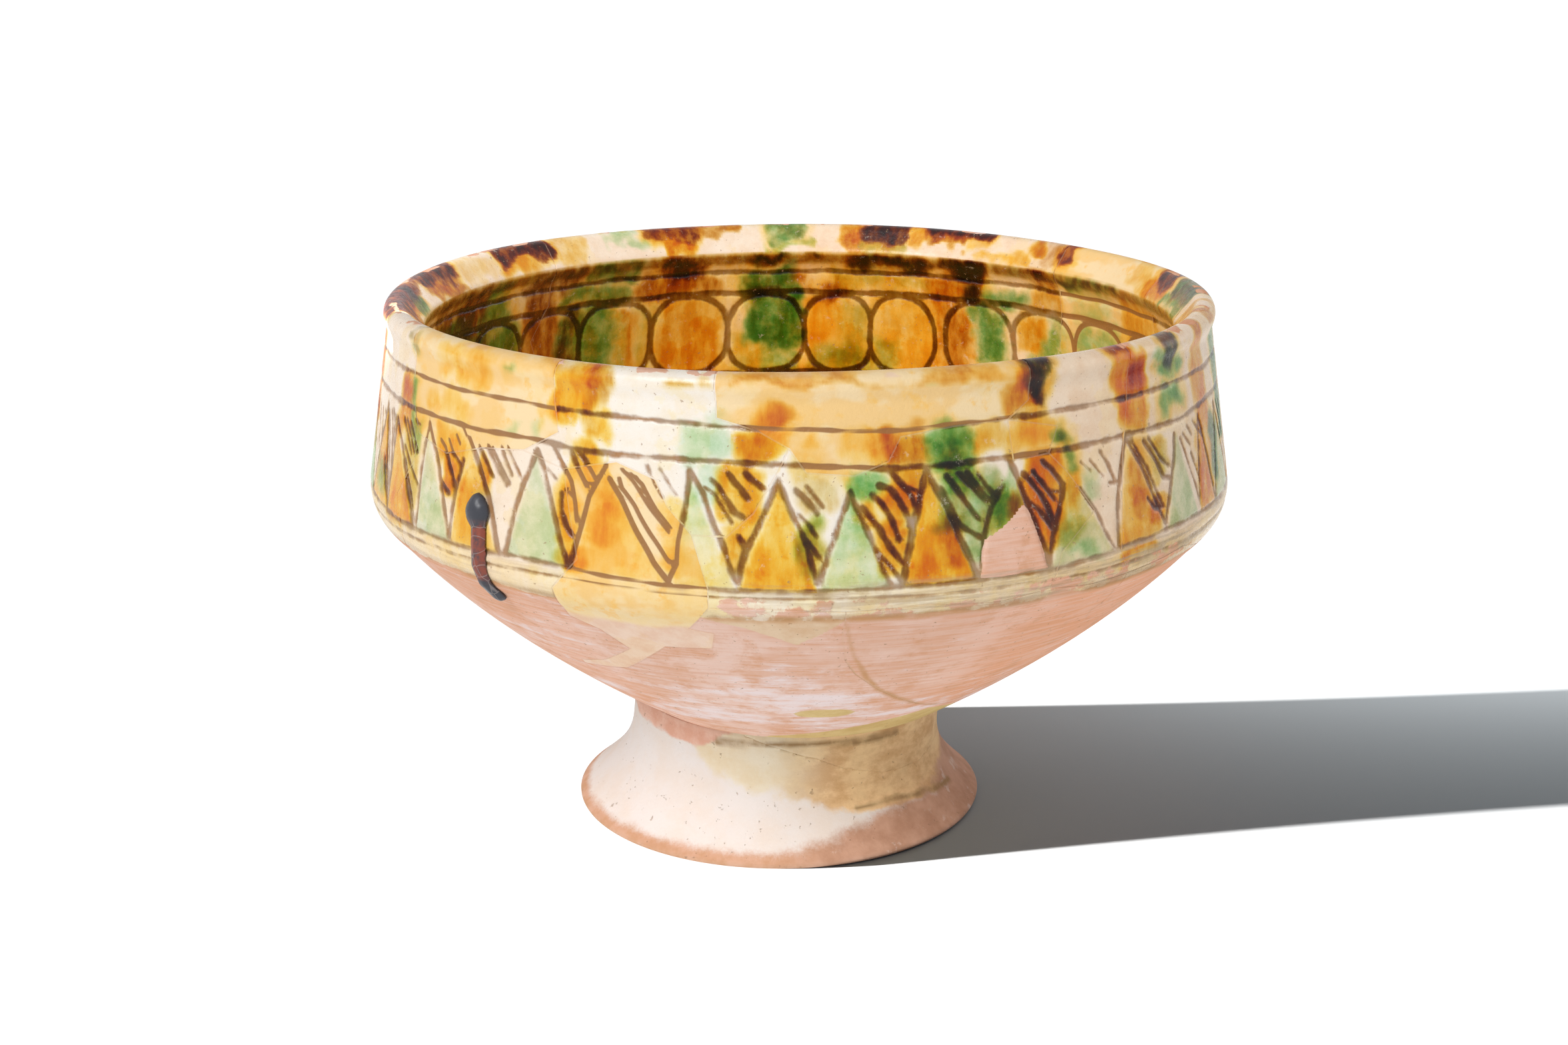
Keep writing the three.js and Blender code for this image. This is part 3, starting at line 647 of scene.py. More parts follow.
# %% [markdown]
# ## Breaking the bowl
# The CAD nodes know every break. A copy of each node is grown along the rays from the point on the axis,
# in front of the wall and behind it, which leaves its broken edges where they are. A Boolean with that
# copy then cuts the matching sherd out of the fine bowl.

# %% Grow a copy of a CAD node into a cutter
SHERDS = ["left_wall_sherd", "back_wall_sherd", "right_wall_sherd", "right_front_wall_sherd",
          "front_wall_sherd", "front_left_rim_sherd", "front_left_wall_sherd"]
LOWER = ["base_sherd", "right_lower_sherd", "back_right_lower_sherd", "back_lower_sherd", "left_lower_sherd"]
FILLS = ["left_rim_fill", "front_fill", "front_rim_fill", "wall_patch_fill", "right_rim_fill"]
GROWN_OUT, GROWN_IN = 1.07, 0.93
LIP_RAISE, LIP_LOW, LIP_HIGH = math.radians(2.5), 0.225, 0.246


def choose(body):
    """Make one object the selected and active one."""
    bpy.ops.object.select_all(action="DESELECT")
    body.select_set(True)
    bpy.context.view_layer.objects.active = body


def merged_copy(name):
    made = bpy.data.objects.new(name + "_cutter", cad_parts[name].data.copy())
    bpy.context.scene.collection.objects.link(made)
    choose(made)
    with editing():
        bpy.ops.mesh.remove_doubles(threshold=2 * WELD)
    return made


def cutter_from(name):
    made = merged_copy(name)
    ray = points_of(made.data) - FOCUS
    far = np.linalg.norm(ray, axis=1)
    elevation = np.arctan2(ray[:, 2], np.hypot(ray[:, 0], ray[:, 1]))
    grown = far * np.where(far > middle_reach(elevation), GROWN_OUT, GROWN_IN)
    raised = elevation + LIP_RAISE * smooth(LIP_LOW, LIP_HIGH, elevation)
    level = np.cos(raised) / np.maximum(np.cos(elevation), 1e-6)
    ray = np.column_stack((ray[:, 0] * level, ray[:, 1] * level, far * np.sin(raised)))
    set_points(made.data, FOCUS + ray * (grown / far)[:, None])
    return made


cutters = {name: cutter_from(name) for name in SHERDS + LOWER + FILLS}
print("cutters:", len(cutters))


# %% Cut one body with another
def boolean(body, other, operation):
    choose(body)
    cut = body.modifiers.new("cut", "BOOLEAN")
    cut.operation = operation
    cut.solver = "MANIFOLD"
    cut.object = other
    bpy.ops.object.modifier_apply(modifier=cut.name)
    return body


def copy_of(body, name):
    made = bpy.data.objects.new(name, body.data.copy())
    made.data.name = name
    bpy.context.scene.collection.objects.link(made)
    return made


# %% Cut every sherd and fill out of the thrown bowl
pieces = {}
for name, cutter in cutters.items():
    pieces[name] = boolean(copy_of(thrown_bowl, "mended_" + name), cutter, "INTERSECT")
    print(name, len(pieces[name].data.polygons), "faces")


# %% [markdown]
# ## Adhesive in the joins
# The sherds and fills stand 0.3 mm apart, and that gap is full of old adhesive, a tan line that stays
# just under the surface. It is a slightly thinner bowl with every sherd and fill taken away.

# %% Thin bowl less the sherds
COARSE_ROW, COARSE_STEPS = 1.5, 360
ADHESIVE_DEPTH = 0.03


def thinned(profile, by):
    along = np.gradient(profile, axis=0)
    along /= np.maximum(np.linalg.norm(along, axis=1), 1e-9)[:, None]
    inward = np.column_stack((-along[:, 1], along[:, 0]))
    moved = profile + by * inward
    moved[:, 0] = np.maximum(moved[:, 0], 0)
    moved[0], moved[-1] = (0, profile[0, 1] + by), (0, profile[-1, 1] - by)
    return moved


coarse = respaced(bowl_section(), lambda r, z, inner: COARSE_ROW)
adhesive = turned("join_adhesive", thinned(coarse, ADHESIVE_DEPTH), COARSE_STEPS, True)
points = points_of(adhesive.data)
set_points(adhesive.data, waver(points, places_on(points)[0]))
for cutter in cutters.values():
    boolean(adhesive, cutter, "DIFFERENCE")
print("adhesive:", len(adhesive.data.polygons), "faces")

# %% [markdown]
# ## Foot
# The foot is a second thrown form, a collar that flares to a thin edge, luted on a little off centre and
# leaning. It is spun, leaned, and cut to the underside of the bowl. The fill at the joint sits in a
# pocket of it, cut with a copy of its CAD node that is grown outwards.

# %% Section of the foot, closed round its hollow
FOOT_RADIUS, NECK_RADIUS, HOLLOW_RADIUS = 41.4, 31.4, 22.0
COLLAR_LOW, COLLAR_TOP = 17.6, 27.7


def cubic(a, b, c, d, count=40):
    a, b, c, d = (np.array(p, float) for p in (a, b, c, d))
    t = np.linspace(0, 1, count)[:, None]
    return (1 - t) ** 3 * a + 3 * t * (1 - t) ** 2 * b + 3 * t * t * (1 - t) * c + t ** 3 * d


def foot_section():
    ring = [(34.2, 0), (36, 0), (38, 0)]
    edge = curve((40.2, 0), (FOOT_RADIUS, 0), (FOOT_RADIUS, 1.0), 6)
    flare = cubic((FOOT_RADIUS, 1.0), (34.5, 6.9), (NECK_RADIUS, 10.6), (NECK_RADIUS, COLLAR_LOW))
    collar = [(NECK_RADIUS, z) for z in np.linspace(18.4, COLLAR_TOP, 12)]
    top = [(28, COLLAR_TOP), (25, COLLAR_TOP)]
    bore = [(HOLLOW_RADIUS, z) for z in np.linspace(COLLAR_TOP, 18.5, 8)]
    hollow = curve((HOLLOW_RADIUS, COLLAR_LOW), (HOLLOW_RADIUS, COLLAR_LOW / 2), (32.2, 2.0), 24)
    return np.vstack((ring, edge, flare[1:], collar, top, bore, hollow))


# %% Lean the foot and cut it to the bowl
FOOT_SHIFT, FOOT_BACK = -4.0, 2.4
FOOT_LEANS, FOOT_HEIGHT = 2.0, 23.7
FOOT_SLANT = FOOT_LEANS / FOOT_HEIGHT
FOOT_LEAN = Matrix(((1, 0, FOOT_SLANT, FOOT_SHIFT * MM), (0, 1, 0, FOOT_BACK * MM),
                    (0, 0, 1, 0), (0, 0, 0, 1)))
FOOT_STEPS, SEAT_STEPS, SEAT_GAP = 400, 256, 0.3
LIP_ROWS, SEAT_TOP = 8, 95


def lean_on_bowl(name):
    """A whole foot, leaned and cut to the bowl with the seat gap of the CAD part."""
    body = turned(name, foot_section(), FOOT_STEPS, False)
    body.data.transform(FOOT_LEAN)
    below_lip = int(np.argmax(coarse[:, 1])) - LIP_ROWS
    core = np.vstack((thinned(coarse, -SEAT_GAP)[:below_lip], [(0, SEAT_TOP)]))
    seat = turned("seat", core, SEAT_STEPS, True)
    boolean(body, seat, "DIFFERENCE")
    bpy.data.objects.remove(seat)
    return body


foot = lean_on_bowl("mended_pedestal_foot")
print("foot:", len(foot.data.polygons), "faces")

# %% Cut the pocket and the fill
NECK_MIDDLE = np.array((FOOT_SHIFT + FOOT_LEANS, FOOT_BACK))
OUTER_FACE, OUTER_GROWTH = 30.2, 1.4
TOP_FACE, TOP_GROWTH = 23.2, 5.0
FILL_SWELL, POCKET_SWELL = 0.295, 0.3


def joint_cutter(swell):
    """The CAD fill, swollen a little and grown through the outer face and the top of the foot."""
    made = merged_copy("foot_joint_fill")
    with editing():
        bpy.ops.transform.shrink_fatten(value=swell * MM)
    points = points_of(made.data)
    away = points[:, :2] - NECK_MIDDLE
    distance = np.linalg.norm(away, axis=1)
    away *= np.where(distance > OUTER_FACE, OUTER_GROWTH, 1.0)[:, None]
    points[:, :2] = NECK_MIDDLE + away
    points[:, 2] += np.where(points[:, 2] > TOP_FACE, TOP_GROWTH, 0.0)
    set_points(made.data, points)
    return made


joint_fill = copy_of(foot, "mended_foot_joint_fill")
fill_cutter, pocket_cutter = joint_cutter(FILL_SWELL), joint_cutter(POCKET_SWELL)
boolean(joint_fill, fill_cutter, "INTERSECT")
boolean(foot, pocket_cutter, "DIFFERENCE")
print("foot:", len(foot.data.polygons), "faces; joint fill:", len(joint_fill.data.polygons))

# %% [markdown]
# ## Kiln drip
# A bead of near-black glaze fell on the wall in the kiln and ran over the shoulder. Glaze pulls itself
# round, so a copy of the CAD drip is remeshed finely and smoothed. Its tail is then made fuller, with a
# hook at its end.

# %% Smooth drip
DRIP_VOXEL, DRIP_SMOOTHING = 0.22, 6

drip = merged_copy("kiln_drip")
drip.name = drip.data.name = "mended_kiln_drip"
remesh = drip.modifiers.new("remesh", "REMESH")
remesh.mode = "VOXEL"
remesh.voxel_size = DRIP_VOXEL * MM
relax = drip.modifiers.new("relax", "SMOOTH")
relax.factor = 0.5
relax.iterations = DRIP_SMOOTHING
for modifier in ("remesh", "relax"):
    bpy.ops.object.modifier_apply(modifier=modifier)
print("drip:", len(drip.data.polygons), "faces")

# %% A fuller tail that hooks at its end
DRIP_BEARING = math.radians(-43)
TAIL_FULLNESS = ([66, 70, 79, 81], [1.1, 1.25, 1.25, 1.0])
TAIL_DRIFT = ([63, 66, 69, 72, 76, 80, 90], [-0.6, -0.6, -0.4, 0.3, 0.6, 0.7, 0.7])

points = points_of(drip.data)
height = points[:, 2]
along = points[:, 0] * math.cos(DRIP_BEARING) + points[:, 1] * math.sin(DRIP_BEARING)
slices = np.arange(height.min(), height.max() + 1, 1.0)
middle = np.interp(height, slices, [along[np.abs(height - z) < 0.9].mean() for z in slices])
fuller = np.interp(height, *TAIL_FULLNESS) - 1
shift = np.interp(height, *TAIL_DRIFT) + (along - middle) * fuller
points[:, 0] += shift * math.cos(DRIP_BEARING)
points[:, 1] += shift * math.sin(DRIP_BEARING)
set_points(drip.data, points)
print("drip tail: up to %.2f mm aside" % np.abs(shift).max())

# %% Clear the cutters away
for cutter in [*cutters.values(), fill_cutter, pocket_cutter, thrown_bowl]:
    bpy.data.objects.remove(cutter)
print("left on the bench:", len(pieces), "pieces of the bowl, the adhesive, the foot, its fill and the drip")

# %% [markdown]
# ## Splashes of glaze
# Amber from iron, green from copper and brown from manganese were dabbed on and ran. Each dab has a left
# and a right bearing, a lower and an upper height, and the strength of the three colours. The strengths
# are kept as attributes on the vertices, like a depth of coloured glass over the white slip. Smooth noise
# makes the edges of the dabs wander as wet glaze does, and brown and deep green dabs bleed an amber halo.

# %% Smooth noise, for edges that wander
LATTICE = 12


def hills(points, size, seed):
    """Noise from -1 to 1 with hills about a size apart, in millimetres."""
    table = np.random.default_rng(seed).uniform(-1, 1, (LATTICE, LATTICE, LATTICE))
    spot = points / size
    cell = np.floor(spot).astype(int)
    share = smooth(0, 1, spot - cell)
    total = np.zeros(len(points))
    for corner in np.ndindex(2, 2, 2):
        at = (cell + corner) % LATTICE
        weight = np.prod(np.where(np.array(corner) == 1, share, 1 - share), axis=1)
        total += weight * table[at[:, 0], at[:, 1], at[:, 2]]
    return total


def layered(points, layers):
    """Hills of several sizes together: (height, size, seed) of each."""
    return sum(tall * hills(points, size, seed) for tall, size, seed in layers)


# %% Dabs outside: left, right, low, high, amber, green, brown
OUTSIDE_DABS = [
    (-68, -66, 78, 83, 0.2, 0, 0.35), (-72, -66, 72, 80, 0, 0.3, 0),
    (-63, -58.6, 90.4, 97.2, 0.8, 0, 0.2), (-60, -55.4, 74, 86, 0.3, 0.08, 0.04),
    (-29, -26.2, 73.5, 84, 0.35, 0, 0.03), (-64, -58, 86, 91, 0.7, 0, 0.05),
    (-58.8, -57.6, 90, 97, 0, 0.9, 0.1), (-58, -55.4, 85, 91, 0.05, 0.55, 0),
    (-59.2, -57.6, 103, 104.4, 0, 0.6, 0.4), (-52, -41, 98.8, 104.4, 0.26, 0, 0),
    (-48, -41.5, 100.5, 104, 0.22, 0, 0), (-54.5, -44, 92.6, 97.4, 0.3, 0, 0),
    (-52, -45, 85, 91.6, 0.5, 0, 0.02), (-49, -46.5, 79, 86, 0.75, 0, 0.1),
    (-38, -36.6, 102.4, 103.2, 0, 0.8, 0.1), (-46.4, -42, 72.5, 84.5, 0.35, 0, 0),
    (-42.6, -39.8, 81.5, 88, 0.7, 0, 0.1), (-38, -36.4, 94, 95, 0, 0.3, 0),
    (-31.4, -24.4, 96.4, 105, 0.82, 0, 0), (-26.6, -23, 98.4, 105.4, 0.5, 0, 0.4),
    (-32, -27, 95.4, 98.2, 0.65, 0, 0), (-26.2, -24.4, 92.4, 99.4, 0.5, 0, 0.16),
    (-24.8, -22.6, 92.8, 98.6, 0.4, 0, 0), (-33.4, -32.4, 94.6, 98, 0.3, 0, 0),
    (-34.6, -32.6, 93.6, 95.4, 0, 0.3, 0), (-28.4, -24.2, 85, 92, 0.65, 0, 0.04),
    (-29.6, -27, 77.5, 86, 0.25, 0, 0), (-27.6, -25.2, 72.4, 76.4, 0.75, 0, 0),
    (-25.6, -21.8, 77.5, 86.5, 0.35, 0, 0.02), (-16, -13.6, 73, 86, 0.3, 0, 0),
    (-14.6, -7.6, 92.2, 97.6, 0, 0.24, 0), (-10.8, -8.2, 97.6, 100, 0, 0.14, 0),
    (-12.6, -9, 84, 91.6, 0, 0.2, 0), (-7.4, -3.0, 91.6, 97.6, 0.62, 0, 0.12),
    (-5.8, -2.6, 95.6, 101, 0.6, 0, 0.12), (-4.4, -1.2, 97.8, 100.8, 0.6, 0, 0.22),
    (-9.6, -4, 82.5, 91.6, 0.5, 0, 0.06), (-8.4, -5.4, 73.5, 82, 0.5, 0, 0.12),
    (-1.6, 6.4, 88.6, 92.4, 0.14, 0, 0.04), (-0.8, 4.2, 83, 89.4, 0.16, 0.04, 0.16),
    (0.4, 3, 74, 82, 0.3, 0.2, 0.12), (-6.6, -4.6, 79, 85, 0.4, 0, 0), (-3.2, -1.8, 93, 96.6, 0.6, 0, 0),
    (0, 1.6, 93, 95.4, 0.35, 0, 0), (4.6, 8.6, 93, 96, 0.35, 0, 0), (-5.6, -3, 75, 79, 0.3, 0, 0),
    (-2, 0, 72.5, 76, 0.3, 0, 0.05), (-0.2, 2.2, 76, 82.5, 0.3, 0.25, 0),
    (5.6, 9.4, 86, 91.2, 0.05, 0.75, 0), (9.6, 14.4, 84, 90.8, 0.8, 0, 0.12),
    (8.6, 12, 73, 84, 0.7, 0, 0.1), (6.6, 9, 82, 86, 0.5, 0, 0.1), (9.4, 15, 90.8, 97, 0.7, 0, 0.42),
    (7.6, 11.2, 91.4, 95.8, 0.5, 0, 0.08), (14.2, 20.8, 90.6, 97.2, 0.02, 0.9, 0.1),
    (15, 18.6, 91, 95.6, 0.1, 0.6, 0.3), (20.2, 25, 94, 97.4, 0.45, 0, 0.1),
    (15.8, 20.6, 87.5, 91, 0.1, 0.6, 0), (15.6, 24, 79, 91, 0.08, 0.4, 0.14),
    (18.8, 21.8, 73.5, 80, 0.05, 0.4, 0.1), (16.4, 18.4, 72.4, 84, 0.5, 0, 0.3),
    (12, 16, 72.2, 75.5, 0.3, 0, 0.05), (21.6, 24.6, 79.5, 86.5, 0.05, 0.6, 0),
    (24.4, 26.2, 80.5, 86, 0.5, 0, 0.5), (24.6, 29, 97.8, 104.8, 0.8, 0, 0.42),
    (26.8, 29.4, 100, 105, 0, 0.9, 2.0), (28.6, 30.6, 98.2, 101, 0, 0.5, 1.6),
    (29.6, 31.6, 101, 104, 0.5, 0, 0), (24.6, 31.6, 91.6, 97, 0.5, 0, 0.06),
    (31.2, 33.8, 91.6, 94.8, 0.05, 0.9, 0.35), (32.6, 34.6, 87, 91, 0.1, 0.6, 0.15),
    (26.4, 32, 75.5, 90.6, 0.85, 0, 0.1), (31.6, 34.8, 75.4, 82, 0.25, 0.22, 0.04),
    (33.2, 37.4, 72.6, 75.4, 0, 0.35, 0), (35.4, 38.2, 82, 88, 0.02, 0.22, 0),
    (32.4, 34.8, 82, 88, 0.5, 0, 0.02), (40.8, 48.4, 96.5, 105, 0.75, 0, 0.05),
    (44.2, 48.2, 96.8, 103.6, 0.5, 0, 0.1), (44.4, 47, 97, 104, 0.2, 0, 0.34),
    (42.4, 48.4, 91.4, 97.2, 0.85, 0, 0.08), (41, 49.6, 72.6, 76, 0.2, 0, 0.04),
    (44, 46, 77, 88, 0.2, 0, 0.16), (41, 47.6, 69.8, 72.2, 0.7, 0, 0.1),
    (43.6, 48.4, 80, 90.4, 0.4, 0, 0.04), (48, 52, 82, 90, 0.4, 0.12, 0),
    (46.6, 50.4, 74.4, 80, 0.75, 0, 0.12), (52.2, 55.4, 100.4, 104.6, 0.05, 1.2, 0.75),
    (51, 57.8, 98.4, 101.2, 0, 0.75, 0), (51.2, 57.4, 92, 97.2, 0.02, 0.75, 0),
    (50.4, 52.6, 102, 104.6, 0, 0.5, 0), (61, 65.6, 90, 105, 0.6, 0, 0.1),
    (60.4, 67, 74, 91, 0.45, 0, 0.08), (66.6, 70, 76, 89, 0.05, 0.9, 0.4),
    (72, 77, 82, 103, 0.05, 1.0, 0.2), (-65, -58.5, 69.2, 71.4, 0.55, 0, 0.05),
]


def dabs_round(seed, start, end, step):
    """Dabs of the same kind where the photograph does not reach."""
    rng = np.random.default_rng(seed)
    rows = []
    for i, bearing in enumerate(np.arange(start, end, step)):
        at, half, low = bearing + rng.uniform(-2.5, 2.5), rng.uniform(2.2, 3.6), rng.uniform(80, 95)
        kinds = ((0.95, 0, 0.15), (0.03, 0.9, 0.1), (0.6, 0, 1.1))
        rows.append((at - half, at + half, low, rng.uniform(103, 105), *kinds[i % 3]))
        rows.append((at - half * 0.6, at + half * 0.5, low - 6, low + 2, *(0.7 * k for k in kinds[i % 2])))
    return rows


THIN_BROWN, THIN_BROWN_SHARE = 0.5, 0.55


def softened(dab):
    """A dab whose brown, where it is thin, is thinner still."""
    *rest, brown = dab
    return (*rest, brown * (THIN_BROWN_SHARE if brown < THIN_BROWN else 1.0))


outside_dabs = [softened(dab) for dab in OUTSIDE_DABS + dabs_round(11, 86, 286, 11.0)]
print("dabs outside:", len(outside_dabs))

# %% Dabs on the bevel of the lip
LIP_DABS = [
    (127.5, 130, 103, 108, 0.4, 0, 1.6), (130, 134, 101, 108, 0.1, 0, 0.22),
    (134, 137, 103, 108, 0.7, 0, 0.15), (136.5, 139, 101, 103.5, 0.5, 0, 0.05),
    (138, 148, 100, 101.4, 0.5, 0, 0), (145.4, 157.6, 104, 108, 0.2, 0, 1.9),
    (149.5, 157, 102.3, 104.2, 0.8, 0, 0.5), (156.2, 159.4, 102.6, 108, 0.95, 0, 0.1),
    (160, 169, 104, 108, 0.2, 0.2, 1.8), (159.6, 169, 101, 104, 0.45, 0.22, 0.05),
    (168.6, 172.6, 101, 108, 0.85, 0, 0.15), (178.3, 185.2, 103.3, 108, 0.1, 0.85, 0.15),
    (176.4, 186, 100.8, 103, 0.35, 0.35, 0), (-169.6, -162, 105.0, 108, 0.7, 0, 0.35),
    (-162.4, -152.6, 104.6, 108, 0.6, 0, 1.0), (-162, -156, 100.6, 105, 1.0, 0, 0.1),
    (-153, -145.2, 103, 105, 0.05, 0.32, 0), (-151, -147, 104.6, 108, 0.05, 0.4, 0),
    (-141, -134, 101, 108, 0.22, 0, 0.06), (-133.6, -120.8, 103.4, 108, 0.3, 0, 1.7),
    (-131, -120, 100.8, 103.2, 0.4, 0, 0.05), (-120, -111, 101, 106, 0.2, 0, 0.04),
    (-110, -96.5, 103.4, 108, 0.2, 0, 1.8), (-110, -97, 100.8, 103.2, 0.7, 0, 0.35),
    (-97, -87.6, 103.8, 108, 0.5, 0, 0.8), (-92, -72, 103.2, 108, 0.45, 0, 1.3),
    (-87, -76, 101, 106, 0.3, 0, 0.3), (-93, -87, 100.4, 104, 0.05, 0.9, 0.3),
    (-94, -84, 101.2, 104, 0.25, 0, 0.08), (98, 103.6, 103.6, 108, 0.1, 0, 1.8),
    (97.6, 106, 101, 104, 0.75, 0, 0.1), (86, 98.4, 100.4, 103, 0.1, 0.9, 0.1),
    (84, 96, 103, 108, 0, 0.8, 0.6), (104, 112, 101, 105, 0.3, 0, 0.06),
    (40.6, 44.6, 104.2, 108, 0.3, 0, 1.5), (27, 30.6, 104, 108, 0.1, 0.8, 1.7),
    (52, 55.6, 104.2, 108, 0, 0.6, 0.9), (62, 66, 103, 108, 0.45, 0, 0.22),
    (70, 74, 104, 108, 0.6, 0, 0.3), (-61, -57, 103, 106, 0, 0.3, 0.2),
    (14, 24, 104.2, 108, 0.25, 0, 0.05), (-12, 27, 104.2, 105.3, 0.42, 0, 0.14),
    (-8, 6, 104.4, 108, 0.3, 0, 0.06), (-34, -24, 104.4, 108, 0.25, 0, 0.1),
    (10, 18, 100.5, 104, 0.1, 0.4, 0), (-20, -8, 100.5, 104, 0.5, 0, 0.2),
    (-52, -40, 100.5, 106, 0.3, 0, 0), (72, 82, 101, 105, 0.6, 0, 0.1),
]

# %% Dabs inside the wall
INSIDE_DABS = [
    (-124, -118, 96.4, 99.6, 0, 0.9, 0.1), (-118, -110, 96, 100, 0.7, 0, 0.5),
    (-141, -128, 96, 100.3, 0.4, 0.1, 0.75), (-152.5, -142, 97, 100, 0.3, 0.95, 0.2),
    (-163.4, -155.6, 95.6, 101, 0.6, 0, 1.2), (-184, -172, 98.6, 100.8, 0.2, 0.9, 1.4),
    (171.5, 176, 96.5, 100, 0.2, 0, 0.1), (156, 171, 96.5, 101, 0.5, 0.5, 0.9),
    (145, 153.4, 96.4, 101.3, 0.2, 0.3, 1.7), (150, 154, 96.4, 98.6, 0.8, 0, 0.2),
    (131, 137, 96.4, 101.5, 0.6, 0, 1.1), (113, 129, 98.6, 100.8, 0.1, 0.8, 0.6),
    (118, 128, 96.3, 99, 0.1, 0.35, 0), (-124.6, -116, 91, 96, 0.1, 0.8, 0.1),
    (-116, -110, 90, 96, 0.8, 0, 0.4), (-134, -129, 90, 96, 0.6, 0, 0.65),
    (-151, -135, 91, 95.6, 0.15, 0.75, 0.1), (-166, -151.6, 91, 96, 1.05, 0, 0.32),
    (-179.6, -169.6, 90, 97, 0.1, 0.95, 0.15), (-177.4, -171.6, 90, 92, 0, 0.5, 0.7),
    (178, 181.4, 91, 95, 0.9, 0, 0.25), (171.5, 176, 90.5, 92.6, 0.5, 0, 0.9),
    (156, 174, 91.5, 95.8, 0.6, 0.15, 0.03), (150, 157, 90.6, 96, 1.15, 0, 0.22),
    (146, 150, 91, 96, 0.1, 0.6, 1.1), (138, 146, 92, 95.3, 0, 0.75, 0.05),
    (130, 137, 91.5, 96, 0.95, 0, 0.1), (118, 128, 91.5, 95.6, 0.1, 0.25, 0),
    (-127, -115, 72, 91, 0.1, 0.9, 0.1), (-140, -136, 72, 90, 0.25, 0.75, 0.5),
    (-136, -128, 72, 90.6, 0.85, 0, 0.4), (-147, -140, 70, 90.6, 0.1, 0.8, 0.05),
    (-151, -149.4, 70, 88, 1.05, 0, 0.18), (-154, -151.6, 72, 90, 0.35, 0.15, 0),
    (-149.4, -147, 71, 88, 0.45, 0.2, 0), (-167, -154.8, 66, 90.6, 0.9, 0, 0.06),
    (-181, -170.6, 79, 90.6, 0.1, 1.1, 0.1), (-179.4, -174, 68, 79, 0.1, 0.45, 0),
    (-174, -168, 66, 80, 0.8, 0.1, 0), (172.6, 178.4, 79, 90.6, 0.6, 0, 0),
    (167, 173, 72, 90, 0.5, 0.14, 0), (168, 178, 66, 79, 0.35, 0.25, 0),
    (155.6, 167, 66, 90.6, 0.55, 0.03, 0), (162, 167.4, 70, 80, 0.1, 0.2, 0),
    (149, 153.6, 72, 90.8, 1.2, 0, 0.25), (142.6, 148.4, 77, 90.6, 0.05, 0.8, 0.05),
    (141, 146, 68, 84, 0.12, 0.12, 0), (153.6, 155.8, 74, 91, 1.1, 0, 0.15),
    (134.6, 140, 80, 90.6, 0.9, 0, 0.05), (130.4, 134.8, 74, 86, 0.05, 0.4, 0),
    (128, 134, 72, 90, 0.2, 0.2, 0), (131, 137, 68, 80, 0.2, 0.25, 0),
    (115, 127, 70, 90.6, 0.05, 0.45, 0), (-119, -100, 70, 100.5, 0.3, 0.1, 0.45),
]


def inside_round(seed):
    """Colours of the hidden ovals, and runs down to the floor all round."""
    rng = np.random.default_rng(seed)
    rows = []
    for i, (middle, half) in enumerate(HIDDEN_OVALS):
        depths = (rng.uniform(0.7, 1.0), 0, 0.08) if i % 2 else (0.1, rng.uniform(0.5, 0.95), 0.05)
        rows.append((middle - half, middle + half, rng.uniform(60, 70), rng.uniform(90.5, 99), *depths))
    for bearing in np.arange(-180, 180, 21):
        at, half, low = bearing + rng.uniform(-9, 9), rng.uniform(2, 7.5), rng.uniform(36, 62)
        kind = (0.5, 0, 0.04) if rng.uniform() < 0.65 else (0.1, 0.5, 0.02)
        depths = np.array(kind) * rng.uniform(0.5, 1.0)
        rows.append((at - half, at + half, low, 72, *depths))
        rows.append((at - 0.7 * half, at + 0.3 * half, low - rng.uniform(3, 9), low + 4, *(0.6 * depths)))
    return rows


inside_dabs = INSIDE_DABS + inside_round(5)
print("dabs inside:", len(inside_dabs), "on the lip:", len(LIP_DABS))

# %% Depth of each glaze at each place
SIDEWAYS = ((1.2, 6.5, 21), (0.9, 2.6, 22), (0.45, 1.2, 25))
UPWARDS = ((1.8, 6.5, 23), (1.1, 2.6, 24), (0.45, 1.2, 26))
DAB_CORNER = 2.4
DEEP_GREEN, DEEP_BROWN = 0.5, 0.8
GREEN_HALO, BROWN_HALO = 0.16, 0.55


def dab_depth(points, bearing, height, radius, dabs, soft, wander):
    """Depth of amber, green and brown: each dab is a rounded box with a soft edge, thicker in the middle."""
    depth = np.zeros((len(bearing), 3))
    wide = np.maximum(radius, 30) * math.pi / 180
    b = bearing + wander * layered(points, SIDEWAYS) / wide
    z = height + wander * layered(points, UPWARDS)
    for left, right, low, high, *strengths in dabs:
        middle, half = (left + right) / 2, (right - left) / 2
        near = np.flatnonzero(np.abs(turn(b - middle)) < half + 5)
        if not len(near):
            continue
        corner = min(half * 1.4, (high - low) / 2, DAB_CORNER)
        across = (np.abs(turn(b[near] - middle)) - half) * wide[near] + corner
        along = np.maximum(low - z[near], z[near] - high) + corner
        beyond = np.hypot(np.maximum(across, 0), np.maximum(along, 0))
        away = beyond + np.minimum(np.maximum(across, along), 0) - corner
        thick = (1 - smooth(-soft, soft, away)) * (0.85 + 0.45 * smooth(0, -2.5, away))
        depth[near] += np.outer(thick, strengths)
        depth[near, 0] += amber_halo(away, *strengths[1:])
    return depth


def amber_halo(away, green, brown):
    """What bleeds out round a deep brown or green dab."""
    if brown > DEEP_BROWN:
        return BROWN_HALO * (1 - smooth(0, 2.4, away))
    if green > DEEP_GREEN:
        return GREEN_HALO * (1 - smooth(0.2, 2.6, away))
    return 0.0


